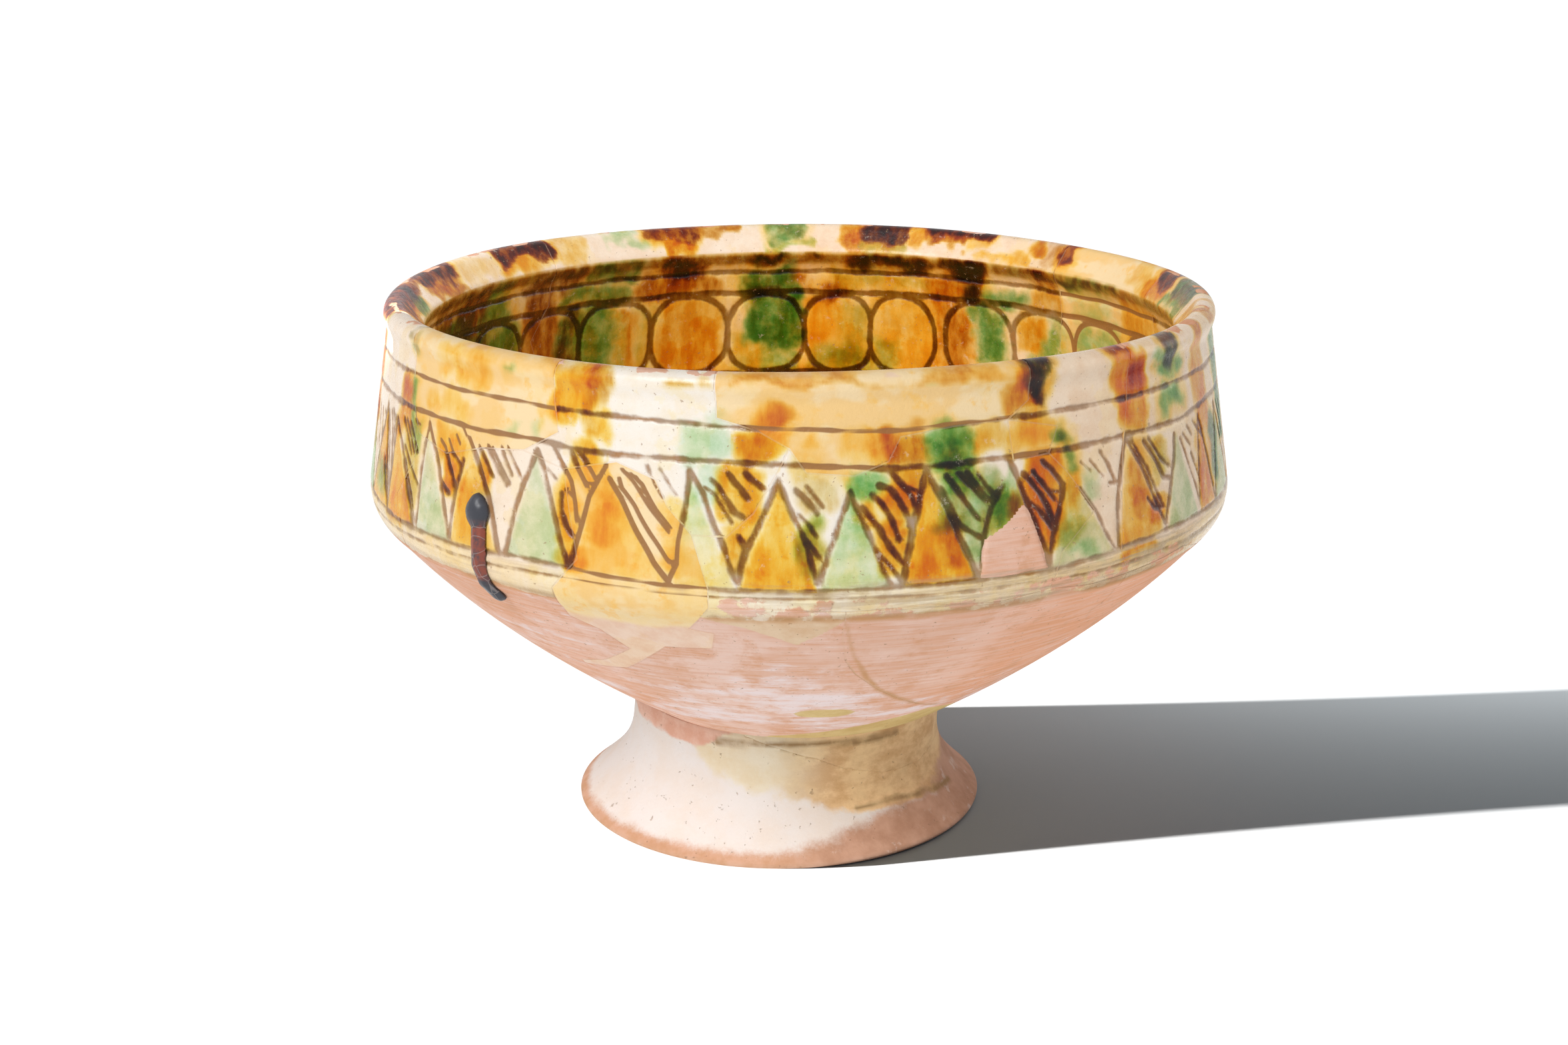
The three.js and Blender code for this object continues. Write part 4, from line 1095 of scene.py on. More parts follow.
# %% Depth of amber and green inside the triangles
def triangle_depth(bearing, height, radius):
    depth = np.zeros((len(bearing), 2))
    for point, top, left, right, amber_top, amber_foot, green_top, green_foot in frieze:
        near = np.flatnonzero((np.abs(turn(bearing - point)) < 12) & between(height, 70, 92))
        if not len(near):
            continue
        scale = math.pi / 180 * radius[near]
        x, z = turn(bearing[near] - point) * scale, height[near]
        down = np.clip((top - z) / (top - 71.5), 0, 1)
        room = np.minimum(x - turn(left - point) * scale * down, turn(right - point) * scale * down - x)
        fill = smooth(-0.3, 0.8, np.minimum(room, z - ruled("foot", bearing[near])))
        amber = amber_top + (amber_foot - amber_top) * down
        green = green_top + (green_foot - green_top) * smooth(0.3, 0.7, down)
        depth[near] = np.maximum(depth[near], np.column_stack((amber * fill, green * fill)))
    return depth


# %% [markdown]
# ## Painting the pieces
# Each piece of the bowl gets its attributes: the depth of amber, green and brown, the distance to the
# nearest stroke, how bare the clay is, how much salt has bloomed on it, the olive-tan edge of the glaze
# below the shoulder, the tan smears that the restorer left, and how warm the clay is and how far the slip
# is soiled and darkened with painted shade on the right.


# %% Where the slip is lost, and the tan smears
def lost_slip(bearing, height):
    """A triangle of the frieze that has flaked down to the clay."""
    left = np.interp(height, [71.5, 78, 80, 83], [20.6, 21.3, 24, 26.4])
    right = np.interp(height, [71.5, 75.3, 81.7, 83], [29.6, 29.0, 27.3, 26.6])
    within = smooth(-0.3, 0.3, np.minimum(bearing - left, right - bearing))
    return within * smooth(71.4, 72, height) * (height < 83)


def tan_smears(bearing, height):
    """The restorer's tan filler below the shoulder and at the foot, and which of it is yellow."""
    end = np.interp(bearing, [-12, -6, -0.5, 2, 5], [66, 63, 59.4, 61.8, 65.6])
    tongue = smooth(-0.5, 0.6, height - end) * (height < 66.2)
    tongue *= smooth(-12, -11, bearing) * smooth(5.4, 4.6, bearing)
    lens = 1 - smooth(0.75, 1.1, np.hypot((bearing - 5) / 6.8, (height - 36.7) / 1.9))
    joint = np.interp(bearing, [-14, -10, 0, 10, 20, 32, 45, 60], [24, 25.5, 27, 28.5, 30.5, 33.5, 31, 25])
    yellow = np.maximum(lens, smooth(0.4, -0.4, height - joint))
    return np.maximum(tongue, yellow), yellow


# %% Olive edge of the glaze, rust, soil and salt
OLIVE = ([-180, -70, -47, -45, -30, -28, 4, 6, 28, 29.5, 32.5, 34, 40, 41, 43, 44, 52, 56, 180],
         [0.5, 0.2, 0.2, 0.4, 0.4, 0.2, 0.2, 0.6, 0.6, 0.2, 0.2, 0.7, 0.7, 0.3, 0.3, 0.7, 0.7, 0.6, 0.5])
OLIVE_TOP = ([4, 14, 60, 80], [69.4, 71.6, 71.6, 69.4])
CRACK = [(0.3, 5, 66, 6, 60, 7, 56, 8.5, 52.5), (0.5, 8.5, 52.5, 10, 49, 13, 45, 18, 41, 23, 38),
         (0.3, 23, 38, 28, 36, 33, 34.5)]
RUST = ([-180, -70, -46, -44, -30, -28, -12, -10, 5, 29, 30, 35, 36, 48, 50, 60, 180],
        [0.5, 0.4, 0.4, 0.8, 0.8, 0.1, 0.1, 0.95, 0.9, 0.8, 0.3, 0.3, 0.9, 0.9, 0.6, 0.5, 0.5])
SOIL = ([-70, -40, -12, -6, 10, 70, 100], [0.35, 0.3, 0.3, 0.4, 0.7, 1.0, 0.5])


def olive_edge(bearing, height):
    top = np.interp(bearing, *OLIVE_TOP)
    return np.interp(bearing, *OLIVE) * smooth(top, top - 1.0, height)


def rust_lines(points, bearing, height, radius):
    """Olive-brown rim of the glaze below the shoulder, and the stained crack in front."""
    worn = layered(points, ((1.0, 9, 31), (0.5, 3, 32)))
    rim = smooth(1.2, 0.2, np.abs(height - ruled("edge", bearing) - 0.3 * worn)) * smooth(-1.3, -0.4, worn)
    away = segment_distance(bearing, height + 0.25 * worn, radius, segments_of(CRACK))
    stain = smooth(0.4, -0.3, away) * np.interp(height, [36, 40, 50, 56], [0.5, 0.9, 0.9, 0.5])
    return np.maximum(rim * np.interp(bearing, *RUST), stain)


def soiled_band(bearing, height):
    """Grey-brown dirt in the grooves of the shoulder."""
    return np.interp(bearing, *SOIL) * smooth(65.8, 66.6, height) * smooth(73.4, 71.8, height)


def salt_bloom(bearing, height):
    """White salt on the clay in front, at the left and round the foot, and none where the clay is plain."""
    middle = bell(turn(bearing + 3), 0, 24) * bell(height, 40, 10)
    left = 0.5 * bell(turn(bearing + 40), 0, 9) * bell(height, 53, 7)
    ring = 0.55 * bell(height, 33, 7)
    plain = 0.5 * smooth(4, 14, bearing) * smooth(150, 110, bearing) * smooth(38, 50, height)
    plain += 0.3 * bell(turn(bearing + 17), 0, 8) * smooth(44, 54, height)
    return np.maximum(np.maximum(middle, left), ring) - plain


# %% Depths and bareness, outside and inside
OUTSIDE_GAIN, INSIDE_GAIN = (1.4, 1.2, 1.15), (0.66, 1.08, 1.1)
SHOULDER_AMBER = ([-72, -66, -9, -5, 60, 90], [0.1, 0.1, 0.08, 0.05, 0.08, 0.1])
# Depths of the dark band in the undercut inside: pooled glaze, deepened as painted shade.
UNDERCUT_POOL_AND_SHADE_DEPTHS = (0.3, 0.22, 0.42)


def store(mesh, name, values):
    layer = mesh.attributes.new(name, "FLOAT", "POINT")
    layer.data.foreach_set("value", values.astype(np.float32))


def bare_outside(points, bearing, height):
    """How bare the clay is outside: below the glaze, in streaks on the shoulder and along the lip."""
    worn = layered(points, ((1.0, 5, 31), (0.6, 2, 32)))
    bare = smooth(0.5, -0.5, height - ruled("edge", bearing) + 0.4 * worn)
    front = smooth(-11, -9, bearing) * smooth(5, 3, bearing)
    pink = 0.5 * (front + smooth(29, 30, bearing) * smooth(33.5, 32.5, bearing))
    pink = np.maximum(pink, 0.42 * smooth(4, 6, bearing) * smooth(60, 55, bearing))
    streak = hills(points * (0.5, 0.5, 3.2), 4, 33)
    bare = np.maximum(bare, (pink + 0.3 * streak) * smooth(70.4, 69.6, height))
    bare = np.maximum(bare, lost_slip(bearing, height))
    return np.maximum(bare, 0.7 * smooth(105.2, 106.0, height) * smooth(0.1, 0.5, worn))


def paint_outside(points, bearing, height, radius):
    at = points, bearing, height, radius
    depth = dab_depth(*at, outside_dabs, soft=0.95, wander=1.05) * OUTSIDE_GAIN
    depth[:, :2] += triangle_depth(bearing, height, radius)
    on_lip = smooth(103.6, 104.6, height)[:, None]
    depth += dab_depth(*at, LIP_DABS, soft=0.6, wander=1.0) * on_lip
    on_shoulder = smooth(72, 71, height) * smooth(62, 68, height)
    depth[:, 0] += np.interp(bearing, *SHOULDER_AMBER) * on_shoulder
    return depth, stroke_distance(bearing, height, radius), bare_outside(points, bearing, height)


def paint_inside(points, bearing, height, radius):
    at = points, bearing, height, radius
    on_lip = smooth(100.0, 100.9, height)[:, None]
    thin = np.interp(np.abs(turn(bearing - 128)), [14, 28], [0.18, 1.0])
    wash = np.column_stack(((0.32 + 0.14 * hills(points, 20, 41)) * thin, 0.06 * (1 - thin), 0 * bearing))
    wash[:, 0] += 0.35 * smooth(72, 60, height)
    runs = dab_depth(*at, inside_dabs, soft=1.3, wander=1.3) * INSIDE_GAIN
    # Dark glaze in the undercut under the ridge: partly real pooled glaze, partly painted shade of the
    # undercut.
    pool = np.outer(smooth(97.4, 98.6, height) * smooth(100.9, 99.8, height), UNDERCUT_POOL_AND_SHADE_DEPTHS)
    lip = dab_depth(*at, LIP_DABS, soft=0.6, wander=1.1)
    line = np.where(height > 68, oval_distance(bearing, height), FAR)
    return (wash + runs + pool) * (1 - on_lip) + lip * on_lip, line


# %% Paint every piece of the bowl
def paint(piece):
    points = points_of(piece.data)
    bearing, height, radius, outside = places_on(points)
    depth, line, bare = np.zeros((len(points), 3)), np.full(len(points), FAR), np.zeros(len(points))
    out, inn = np.flatnonzero(outside), np.flatnonzero(~outside)
    if len(out):
        depth[out], line[out], bare[out] = paint_outside(points[out], bearing[out], height[out], radius[out])
    if len(inn):
        depth[inn], line[inn] = paint_inside(points[inn], bearing[inn], height[inn], radius[inn])
    if "front_fill" in piece.name:
        bare = smooth(64.2, 61.0, height + 0.8 * hills(points, 5, 35)) * outside
    smear, yellow = tan_smears(bearing, height)
    shown = {"amber": depth[:, 0], "green": depth[:, 1], "brown": depth[:, 2], "stroke": np.clip(line, -1, 4),
             "bare": bare, "olive": olive_edge(bearing, height) * outside,
             "smear": smear * outside, "yellow": yellow * outside, "salt": salt_bloom(bearing, height),
             "soil": soiled_band(bearing, height) * outside,
             "rust": rust_lines(points, bearing, height, radius) * outside,
             # warm: warmer clay, and on the slip a darker right side that is partly painted shade
             "warm": np.maximum(smooth(12, 38, bearing), 0.6 * smooth(-22, -38, bearing))}
    for name, values in shown.items():
        store(piece.data, name, values)


for piece in [*pieces.values(), adhesive]:
    paint(piece)
print("painted", len(pieces), "pieces of the bowl and the adhesive")

# %% [markdown]
# ## Glazed earthenware
# Coloured lead glaze is glass over white slip, so its colour follows the depth of the glass: thin amber
# is yellow, thick amber is orange brown. An exponential of the depth gives that by itself. Where a stroke
# has cut through the slip, glaze pools over pink clay, so strokes are brown on cream and nearly black on
# green.


# %% Short names for what the materials use most
def attribute(tree, name):
    return node(tree, "ShaderNodeAttribute", attribute_name=name).outputs["Fac"]


def noise(tree, place, scale, detail, rough, stretch=(1, 1, 1)):
    laid = node(tree, "ShaderNodeMapping", {"Vector": place, "Scale": stretch}).outputs[0]
    inputs = {"Vector": laid, "Scale": scale, "Detail": detail, "Roughness": rough}
    return node(tree, "ShaderNodeTexNoise", inputs).outputs[0]


def ramp(tree, value, low, high, to_low=0.0, to_high=1.0):
    made = node(tree, "ShaderNodeMapRange", {0: value, 1: low, 2: high, 3: to_low, 4: to_high},
                interpolation_type="SMOOTHSTEP")
    return made.outputs[0]


def times(tree, a, b):
    return math_node(tree, "MULTIPLY", a, b)


def plus(tree, a, b):
    return math_node(tree, "ADD", a, b)


def two_tone(tree, value, low, high, a, b, most=1.0):
    """From one colour towards another as the value goes from low to high."""
    return mix_colour(tree, ramp(tree, value, low, high, 0.0, most), a, b)


def ragged(tree, name, value, by):
    """An attribute whose edge a noise makes ragged."""
    return plus(tree, attribute(tree, name), ramp(tree, value, 0.3, 0.7, -by, by))


# %% What each glaze swallows of red, green and blue
AMBER_SWALLOWS = (0.13, 0.74, 3.6)
GREEN_SWALLOWS = (1.45, 0.54, 1.20)
BROWN_SWALLOWS = (1.30, 2.30, 2.90)
GLAZES = (AMBER_SWALLOWS, GREEN_SWALLOWS, BROWN_SWALLOWS)


def glass_over(tree, ground, depths):
    """Ground colour seen through the depths of amber, green and brown glass."""
    layers = [node(tree, "ShaderNodeVectorMath", {0: swallows, "Scale": depth}, operation="SCALE").outputs[0]
              for depth, swallows in zip(depths, GLAZES)]
    total = layers[0]
    for layer in layers[1:]:
        total = node(tree, "ShaderNodeVectorMath", {0: total, 1: layer}, operation="ADD").outputs[0]
    parts = node(tree, "ShaderNodeSeparateXYZ", {0: total})
    passed = [math_node(tree, "EXPONENT", times(tree, part, -1.0)) for part in parts.outputs]
    glass = node(tree, "ShaderNodeCombineColor", dict(enumerate(passed))).outputs[0]
    return mix_colour(tree, 1.0, ground, glass, "MULTIPLY")


# %% Start and end of every material
def begin_material(name):
    material, tree = new_material(name)
    return material, tree, node(tree, "ShaderNodeTexCoord").outputs["Object"]


def surface(tree, colour, roughness, height=None, depth_mm=0.0, strength=0.8, specular=0.5):
    """A surface of one colour and roughness, with a bump where a height is given."""
    inputs = {"Base Color": colour, "Roughness": roughness, "Specular IOR Level": specular}
    if height is not None:
        bump = {"Height": height, "Distance": depth_mm * MM, "Strength": strength}
        inputs["Normal"] = node(tree, "ShaderNodeBump", bump).outputs[0]
    shader = node(tree, "ShaderNodeBsdfPrincipled", inputs)
    node(tree, "ShaderNodeOutputMaterial", {"Surface": shader.outputs[0]})


# %% Depth of glass, mottled as it ran and boiled in the kiln
def mottled_depths(tree, place):
    runs = noise(tree, place, 1.0, 4, 0.6, (380, 380, 120))
    clouds = noise(tree, place, 230, 5, 0.62)
    bloom = noise(tree, place, 85, 5, 0.58)
    amber = times(tree, attribute(tree, "amber"), ramp(tree, runs, 0.3, 0.72, 0.62, 1.4))
    amber = times(tree, amber, ramp(tree, bloom, 0.47, 0.52, 0.78, 1.2))
    amber = plus(tree, amber, ramp(tree, bloom, 0.52, 0.56, 0.0, 0.045))
    green = times(tree, attribute(tree, "green"), ramp(tree, clouds, 0.3, 0.7, 0.5, 1.45))
    brown = times(tree, attribute(tree, "brown"), ramp(tree, runs, 0.3, 0.7, 0.4, 1.5))
    return amber, green, brown, clouds


# %% Pink clay, wiped in level streaks, with a bloom of white salt
def pink_clay(tree, place):
    wiped = noise(tree, place, 1.0, 8, 0.7, (58, 58, 330))
    scratches = noise(tree, place, 1.0, 4, 0.6, (90, 90, 1700))
    patch = noise(tree, place, 48, 4, 0.55)
    blots = noise(tree, place, 170, 6, 0.66)
    pink = two_tone(tree, patch, 0.42, 0.58, (0.86, 0.59, 0.48), (0.78, 0.45, 0.31))
    warm = two_tone(tree, patch, 0.36, 0.64, (0.85, 0.43, 0.26), (0.81, 0.39, 0.22))
    clay = mix_colour(tree, attribute(tree, "warm"), pink, warm)
    clay = two_tone(tree, blots, 0.50, 0.66, clay, (0.72, 0.36, 0.20), 0.7)
    clay = two_tone(tree, scratches, 0.44, 0.58, clay, (0.90, 0.69, 0.60), 0.25)
    clay = two_tone(tree, scratches, 0.46, 0.34, clay, (0.70, 0.34, 0.19), 0.3)
    bloom = plus(tree, times(tree, wiped, 0.65), times(tree, blots, -0.35))
    bloom = plus(tree, bloom, times(tree, attribute(tree, "salt"), 0.13))
    bloom = plus(tree, bloom, times(tree, scratches, 0.12))
    clay = two_tone(tree, bloom, 0.23, 0.40, clay, (0.91, 0.80, 0.80), 0.8)
    peach = two_tone(tree, blots, 0.35, 0.65, (0.82, 0.62, 0.42), (0.74, 0.50, 0.30))
    yolk = two_tone(tree, blots, 0.35, 0.65, (0.74, 0.56, 0.24), (0.64, 0.45, 0.16))
    tan = mix_colour(tree, attribute(tree, "yellow"), peach, yolk)
    return two_tone(tree, ragged(tree, "smear", blots, 0.2), 0.35, 0.65, clay, tan, 0.95), wiped


# %% The material of the sherds
def slip_with_strokes(tree, place, clouds):
    """Cream slip, soiled and darkened with painted shade on the right, olive below the shoulder, and the
    strokes cut through it.
    """
    chips = noise(tree, place, 420, 3, 0.5)
    stroke = plus(tree, attribute(tree, "stroke"), ramp(tree, chips, 0.3, 0.7, -0.12, 0.15))
    line = times(tree, ramp(tree, stroke, 0.32, -0.26), ramp(tree, clouds, 0.34, 0.6, 1.0, 0.76))
    clean = two_tone(tree, clouds, 0.35, 0.7, (0.94, 0.87, 0.78), (0.92, 0.81, 0.66))
    # Darker, warmer slip on the right: partly the slip's own soiled beige, partly painted shade of the side
    # away from the lamp.
    soiled_and_shaded = two_tone(tree, clouds, 0.35, 0.7, (0.92, 0.71, 0.51), (0.84, 0.59, 0.39))
    slip = mix_colour(tree, times(tree, attribute(tree, "warm"), 0.9), clean, soiled_and_shaded)
    bands = noise(tree, place, 1.0, 4, 0.6, (28, 28, 650))
    olive = times(tree, attribute(tree, "olive"), ramp(tree, bands, 0.42, 0.58, 0.15, 1.0))
    slip = mix_colour(tree, olive, slip, (0.74, 0.54, 0.30))
    cut = two_tone(tree, clouds, 0.35, 0.62, (0.42, 0.22, 0.10), (0.25, 0.12, 0.045))
    return mix_colour(tree, line, slip, cut), line


def pooled(tree, line, amber, green, brown):
    """Depths of the glaze, greater where it has pooled in the strokes."""
    pool = times(tree, line, plus(tree, amber, green))
    return [plus(tree, depth, times(tree, pool, share))
            for depth, share in ((amber, 0.35), (green, 0.3), (brown, 0.32))]


def weathered(tree, place, colour, bare, clouds):
    """Scuffs, pits, dirt and rust over the finished surface."""
    scuffs = ramp(tree, noise(tree, place, 420, 5, 0.75), 0.60, 0.70, 0.0, 0.32)
    colour = mix_colour(tree, times(tree, scuffs, ramp(tree, bare, 1.0, 0.0)), colour, (0.86, 0.74, 0.60))
    colour = two_tone(tree, noise(tree, place, 1100, 2, 0.6), 0.67, 0.74, colour, (0.34, 0.20, 0.11), 0.6)
    grime = ramp(tree, noise(tree, place, 1.0, 6, 0.7, (55, 55, 900)), 0.46, 0.60, 0.0, 0.75)
    colour = mix_colour(tree, times(tree, attribute(tree, "soil"), grime), colour, (0.46, 0.33, 0.20))
    stain = mix_colour(tree, attribute(tree, "bare"), (0.38, 0.22, 0.09), (0.60, 0.31, 0.13))
    rust = times(tree, attribute(tree, "rust"), ramp(tree, clouds, 0.3, 0.6, 0.6, 1.0))
    return mix_colour(tree, rust, colour, stain)


# %% Put the sherds' material together
def glazed_earthenware(name, seam=0.0):
    """Glaze where the slip is whole and clay where it is bare; a seam adds that share of tan filler."""
    material, tree, place = begin_material(name)
    *depths, clouds = mottled_depths(tree, place)
    ground, line = slip_with_strokes(tree, place, clouds)
    clay, wiped = pink_clay(tree, place)
    bare = ramp(tree, ragged(tree, "bare", clouds, 0.3), 0.4, 0.6)
    colour = mix_colour(tree, bare, glass_over(tree, ground, pooled(tree, line, *depths)), clay)
    colour = weathered(tree, place, colour, bare, clouds)
    if seam:
        filler = mix_colour(tree, attribute(tree, "dark"), (0.74, 0.52, 0.34), (0.62, 0.35, 0.18))
        colour = mix_colour(tree, plus(tree, attribute(tree, "dark"), seam), colour, filler)
    grain = noise(tree, place, 1500, 3, 0.6)
    gloss = plus(tree, times(tree, bare, 0.59), 0.26)
    uneven = plus(tree, gloss, ramp(tree, grain, 0.4, 0.75, 0.0, 0.18))
    height = plus(tree, times(tree, line, -0.6), times(tree, grain, 0.22))
    height = plus(tree, height, times(tree, wiped, times(tree, bare, 0.7)))
    height = plus(tree, height, times(tree, clouds, 0.5))
    surface(tree, colour, uneven, height, depth_mm=0.22, specular=0.28)
    return material


wall_glaze = glazed_earthenware("splashed_glaze")
lower_clay = glazed_earthenware("pink_earthenware")
print("materials:", wall_glaze.name, lower_clay.name)

# %% [markdown]
# ## Retouched plaster
# The fills are plaster, toned cream, peach and yellow by brush, with the frieze carried across in thin
# brown lines. Paint sits on plaster without much gloss, so the same depths lie over a warmer ground with
# a dull surface, and below the shoulder the plaster is toned to match the clay.


# %% The material of the fills
def retouched_plaster(name):
    material, tree, place = begin_material(name)
    *depths, clouds = mottled_depths(tree, place)
    brush = noise(tree, place, 1.0, 3, 0.55, (80, 80, 130))
    dabs = noise(tree, place, 330, 4, 0.6)
    grain = noise(tree, place, 1900, 3, 0.6)
    tone = two_tone(tree, brush, 0.44, 0.54, (0.92, 0.70, 0.40), (0.90, 0.60, 0.25))
    tone = two_tone(tree, dabs, 0.55, 0.72, tone, (0.92, 0.55, 0.14), 0.8)
    peach = two_tone(tree, clouds, 0.35, 0.65, (0.88, 0.64, 0.48), (0.84, 0.56, 0.40))
    ground = two_tone(tree, attribute(tree, "bare"), 0.2, 0.8, tone, peach)
    colour = glass_over(tree, ground, [times(tree, depth, 0.8) for depth in depths])
    line = times(tree, ramp(tree, attribute(tree, "stroke"), 0.1, -0.15), 0.92)
    colour = mix_colour(tree, line, colour, (0.29, 0.12, 0.03))
    height = plus(tree, times(tree, grain, 0.35), clouds)
    surface(tree, colour, ramp(tree, clouds, 0.3, 0.7, 0.45, 0.7), height, depth_mm=0.25)
    return material


fill_plaster = retouched_plaster("retouched_plaster")
print("fills:", fill_plaster.name)

# %% [markdown]
# ## Colours of the foot
# The foot was dipped in white slip, which has worn to the clay along its edge. The restorer smeared tan
# filler from the joint down over the slip: pale on the left, brown and hard-edged on the right, with a
# dark line along the joint. At the neck on the left the clay is bare. These are attributes too, by
# bearing about the foot.

# %% Bare clay, tan smear and dark lines on the foot
FOOT_LINES = [(0.5, -26, 21.4, -10, 21.8, 10, 21.9, 25, 21.4), (0.85, 25, 21.2, 43, 20.8),
              (0.22, 25, 8.5, 37, 8.5), (0.48, 37, 8.5, 47, 7.9, 60, 6.9, 72, 6.1)]
BARE_EDGE = ([-180, -75, -40, 0, 8, 18, 24, 35, 60, 90, 140, 180],
             [2.6, 2.2, 2.4, 2.5, 3.2, 4.4, 5.6, 6.9, 7.4, 13.0, 9, 2.6])
BARE_FADE = ([-60, 0, 15, 30, 50, 70], [1.4, 1.7, 3.2, 3.2, 2.4, 3.0])
BARE_NECK = ([-112, -100, -75, -50, -36, -28, -20], [25, 20.5, 20.5, 20.0, 19.2, 21.2, 24])
SMEAR_EDGE = ([-40, -35, -30, -20, -10, 0, 10, 20, 28, 40, 55, 70, 100, 130],
              [26, 19, 16.5, 14, 12.3, 11.5, 10, 8.6, 7.9, 7, 6.5, 6, 9, 26])
SMEAR_FADE = ([-30, 10, 30], [3.6, 2.6, 0.8])
ROUGH_SPOTS = ((1.0, 24, 6, 16, 2.2), (1.0, 54, 12, 13, 1.4), (0.8, 33, 8, 10.5, 1.2))


def paint_foot(piece):
    points = points_of(piece.data)
    height = points[:, 2]
    x, y = points[:, 0] - FOOT_SHIFT - FOOT_SLANT * height, points[:, 1] - FOOT_BACK
    bearing, radius = np.degrees(np.arctan2(x, -y)), np.hypot(x, y)
    uneven = layered(points, ((1.0, 4, 51), (0.5, 1.6, 52)))
    neck = smooth(-0.5, 0.7, height - np.interp(bearing, *BARE_NECK) + 0.8 * uneven)
    above = height - np.interp(bearing, *BARE_EDGE) + np.interp(bearing, [0, 25], [0.35, 1.1]) * uneven
    edge = smooth(1, -1, above / np.interp(bearing, *BARE_FADE))
    above = height - np.interp(bearing, *SMEAR_EDGE) + 0.4 * uneven
    smear = smooth(-1, 1, above / np.interp(bearing, *SMEAR_FADE))
    away = segment_distance(bearing, height + 0.3 * uneven, radius, segments_of(FOOT_LINES))
    rough = sum(share * bell(bearing, at, wide) * bell(height, up, tall)
                for share, at, wide, up, tall in ROUGH_SPOTS)
    dark = np.maximum(smooth(0.45, -0.4, away), 0.3 * rough * smooth(-0.6, 0.6, uneven))
    burnt = smooth(-8, 22, bearing) * smooth(130, 95, bearing)
    shown = {"bare": np.maximum(neck, edge), "smear": smear, "dark": dark, "burnt": burnt}
    for name, values in shown.items():
        store(piece.data, name, values)


paint_foot(foot)
paint_foot(joint_fill)
print("painted", foot.name, "and", joint_fill.name)


# %% The material of the foot and its joint
def tan_filler(tree, place, clouds):
    """Pale on the left, brown and streaked on the right."""
    pale = two_tone(tree, clouds, 0.35, 0.65, (0.87, 0.78, 0.60), (0.82, 0.68, 0.45))
    streaks = noise(tree, place, 1.0, 6, 0.68, (110, 110, 190))
    deep = two_tone(tree, streaks, 0.36, 0.64, (0.94, 0.66, 0.35), (0.68, 0.40, 0.18))
    return mix_colour(tree, attribute(tree, "burnt"), pale, deep)


def foot_clay(tree, place, clouds, blots):
    """Clay of the edge and of the neck, darker and flecked with slip on the right."""
    burnt = attribute(tree, "burnt")
    edge = two_tone(tree, blots, 0.35, 0.65, (0.72, 0.43, 0.29), (0.64, 0.35, 0.20))
    neck = two_tone(tree, blots, 0.35, 0.65, (0.88, 0.58, 0.45), (0.80, 0.44, 0.31))
    tall = node(tree, "ShaderNodeSeparateXYZ", {0: place}).outputs["Z"]
    fresh = two_tone(tree, tall, 13 * MM, 17 * MM, edge, neck)
    worn = two_tone(tree, clouds, 0.35, 0.65, (0.66, 0.39, 0.27), (0.50, 0.27, 0.17))
    clay = mix_colour(tree, burnt, fresh, worn)
    flakes = times(tree, burnt, ramp(tree, blots, 0.59, 0.69, 0.0, 0.5))
    return mix_colour(tree, flakes, clay, (0.84, 0.72, 0.65))


def worn_slip(name):
    material, tree, place = begin_material(name)
    clouds = noise(tree, place, 120, 5, 0.6)
    blots = noise(tree, place, 260, 4, 0.6)
    grain = noise(tree, place, 1500, 4, 0.65)
    slip = two_tone(tree, clouds, 0.35, 0.7, (0.87, 0.82, 0.78), (0.86, 0.77, 0.69))
    smear = ragged(tree, "smear", blots, 0.2)
    colour = two_tone(tree, smear, 0.2, 0.8, slip, tan_filler(tree, place, clouds))
    bare = plus(tree, ragged(tree, "bare", blots, 0.05), ramp(tree, grain, 0.3, 0.7, -0.07, 0.07))
    colour = two_tone(tree, bare, 0.12, 0.85, colour, foot_clay(tree, place, clouds, blots))
    dark = times(tree, attribute(tree, "dark"), ramp(tree, blots, 0.3, 0.55, 0.45, 1.0))
    colour = mix_colour(tree, dark, colour, (0.34, 0.20, 0.08))
    speck = ramp(tree, noise(tree, place, 700, 3, 0.7), 0.66, 0.72)
    colour = mix_colour(tree, times(tree, speck, 0.5), colour, (0.42, 0.27, 0.15))
    height = math_node(tree, "SUBTRACT", plus(tree, times(tree, grain, 0.5), clouds), speck)
    surface(tree, colour, 0.82, height, depth_mm=0.3, strength=0.7)
    return material


foot_slip, joint_plaster = worn_slip("worn_slip"), worn_slip("joint_plaster")
print("materials:", foot_slip.name, joint_plaster.name)

# %% [markdown]
# ## Adhesive and drip
# Old adhesive was toned to match its surroundings, so it takes the paint of the bowl and only a little of
# its own tan. Along the crack in front it has gone brown. The drip is a matt blue-black bead with a red
# brown tail, where the glaze runs thin over the shoulder.

# %% The adhesive, brown along the crack in front
SEAM_TAN, CRACK_BROWN = 0.22, 0.6


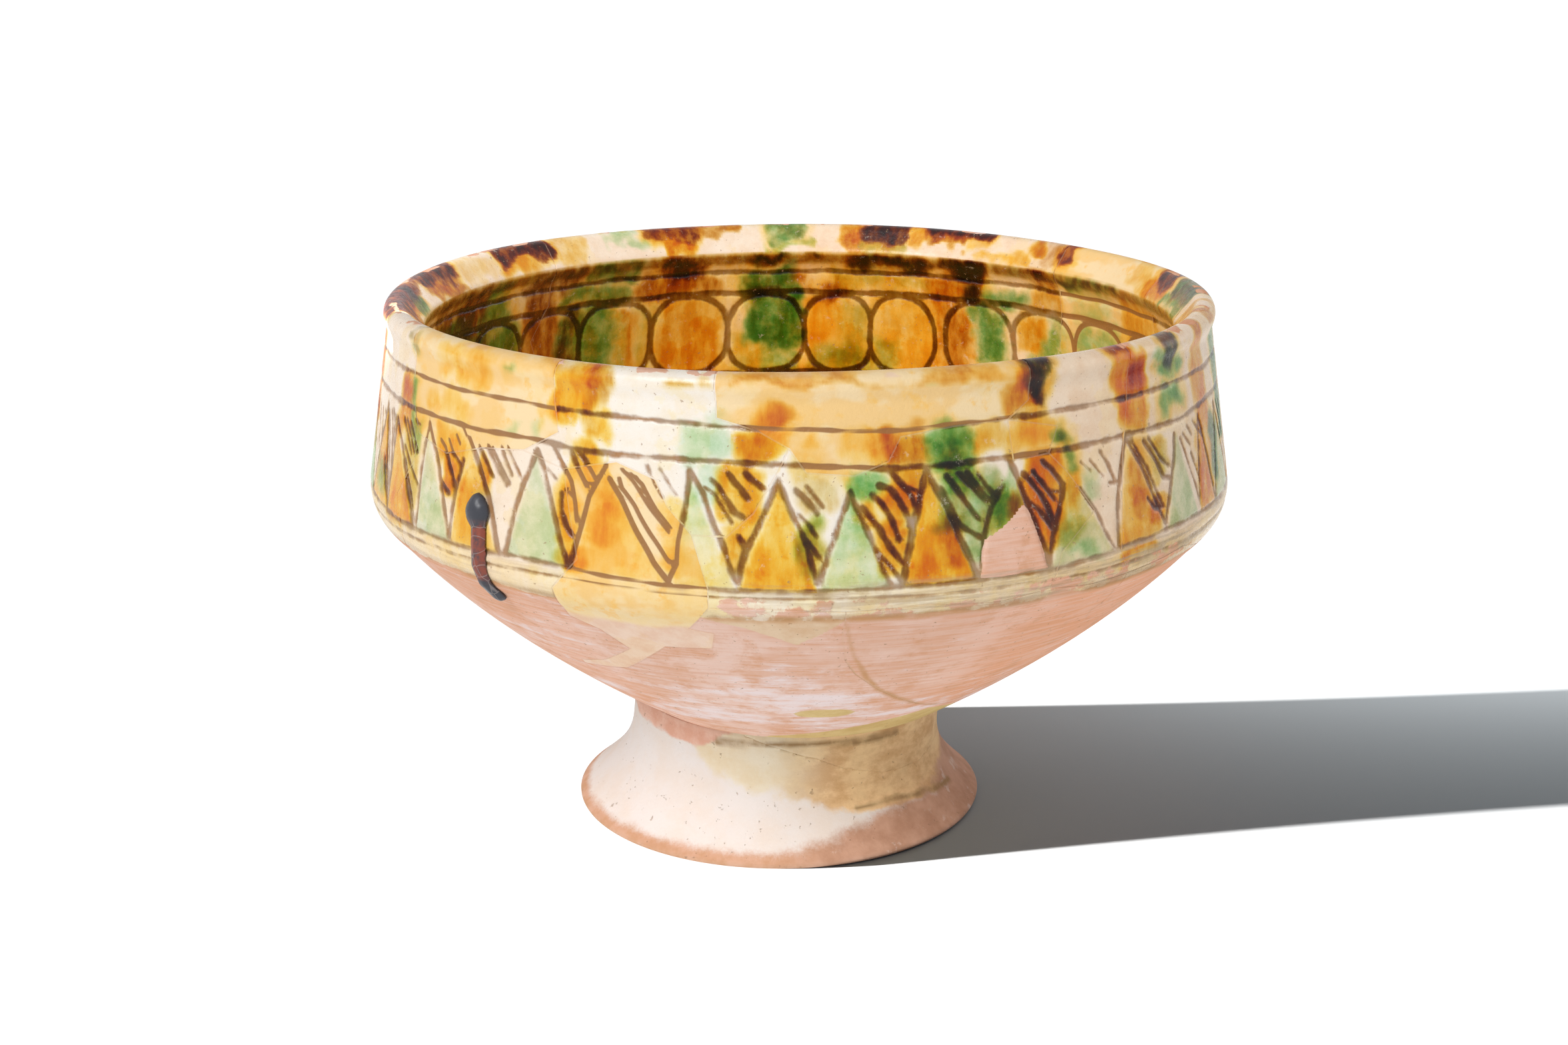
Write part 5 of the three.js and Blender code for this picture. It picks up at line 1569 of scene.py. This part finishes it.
def paint_adhesive(piece):
    bearing, height, *_ = places_on(points_of(piece.data))
    front = smooth(4, 8, bearing) * smooth(30, 24, bearing) * smooth(57, 52, height)
    store(piece.data, "dark", CRACK_BROWN * front)


paint_adhesive(adhesive)
adhesive_tan = glazed_earthenware("old_adhesive", SEAM_TAN)
print("material:", adhesive_tan.name)


# %% The material of the drip
def black_glass(name):
    material, tree, place = begin_material(name)
    tall = node(tree, "ShaderNodeSeparateXYZ", {0: place}).outputs["Z"]
    clouds = noise(tree, place, 500, 4, 0.6)
    tail = times(tree, ramp(tree, tall, 78.0 * MM, 76.0 * MM), ramp(tree, tall, 65.5 * MM, 68.0 * MM))
    red = times(tree, tail, ramp(tree, clouds, 0.3, 0.6))
    colour = mix_colour(tree, red, (0.034, 0.036, 0.048), (0.25, 0.055, 0.030))
    cells = node(tree, "ShaderNodeTexVoronoi", {"Vector": place, "Scale": 330.0}, feature="DISTANCE_TO_EDGE")
    crackle = ramp(tree, cells.outputs["Distance"], 0.025, 0.012, 0.0, 0.4)
    crackle = times(tree, crackle, ramp(tree, tall, 78.0 * MM, 76.5 * MM))
    colour = mix_colour(tree, crackle, colour, (0.42, 0.36, 0.34))
    surface(tree, colour, ramp(tree, clouds, 0.3, 0.7, 0.3, 0.5))
    return material


drip_glass = black_glass("black_glass")
print("materials:", len(bpy.data.materials))

# %% [markdown]
# ## Dressing the part
# Each new piece takes its material, rides on the CAD body and, except for the adhesive, stands for its
# CAD node.

# %% Give each piece its finish and its place in the part
SMOOTH_ANGLE = math.radians(40)


def dress(piece, material, stands_for=None):
    piece.data.materials.clear()
    piece.data.materials.append(material)
    choose(piece)
    bpy.ops.object.shade_smooth_by_angle(angle=SMOOTH_ANGLE)
    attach(piece, "root")
    if stands_for:
        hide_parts(stands_for)


for group, material, slot in ((SHERDS, wall_glaze, "glaze"), (LOWER, lower_clay, "clay"),
                              (FILLS, fill_plaster, "plaster")):
    for name in group:
        dress(pieces[name], material, name)
dress(foot, foot_slip, "pedestal_foot")
dress(joint_fill, joint_plaster, "foot_joint_fill")
dress(drip, drip_glass, "kiln_drip")
dress(adhesive, adhesive_tan)
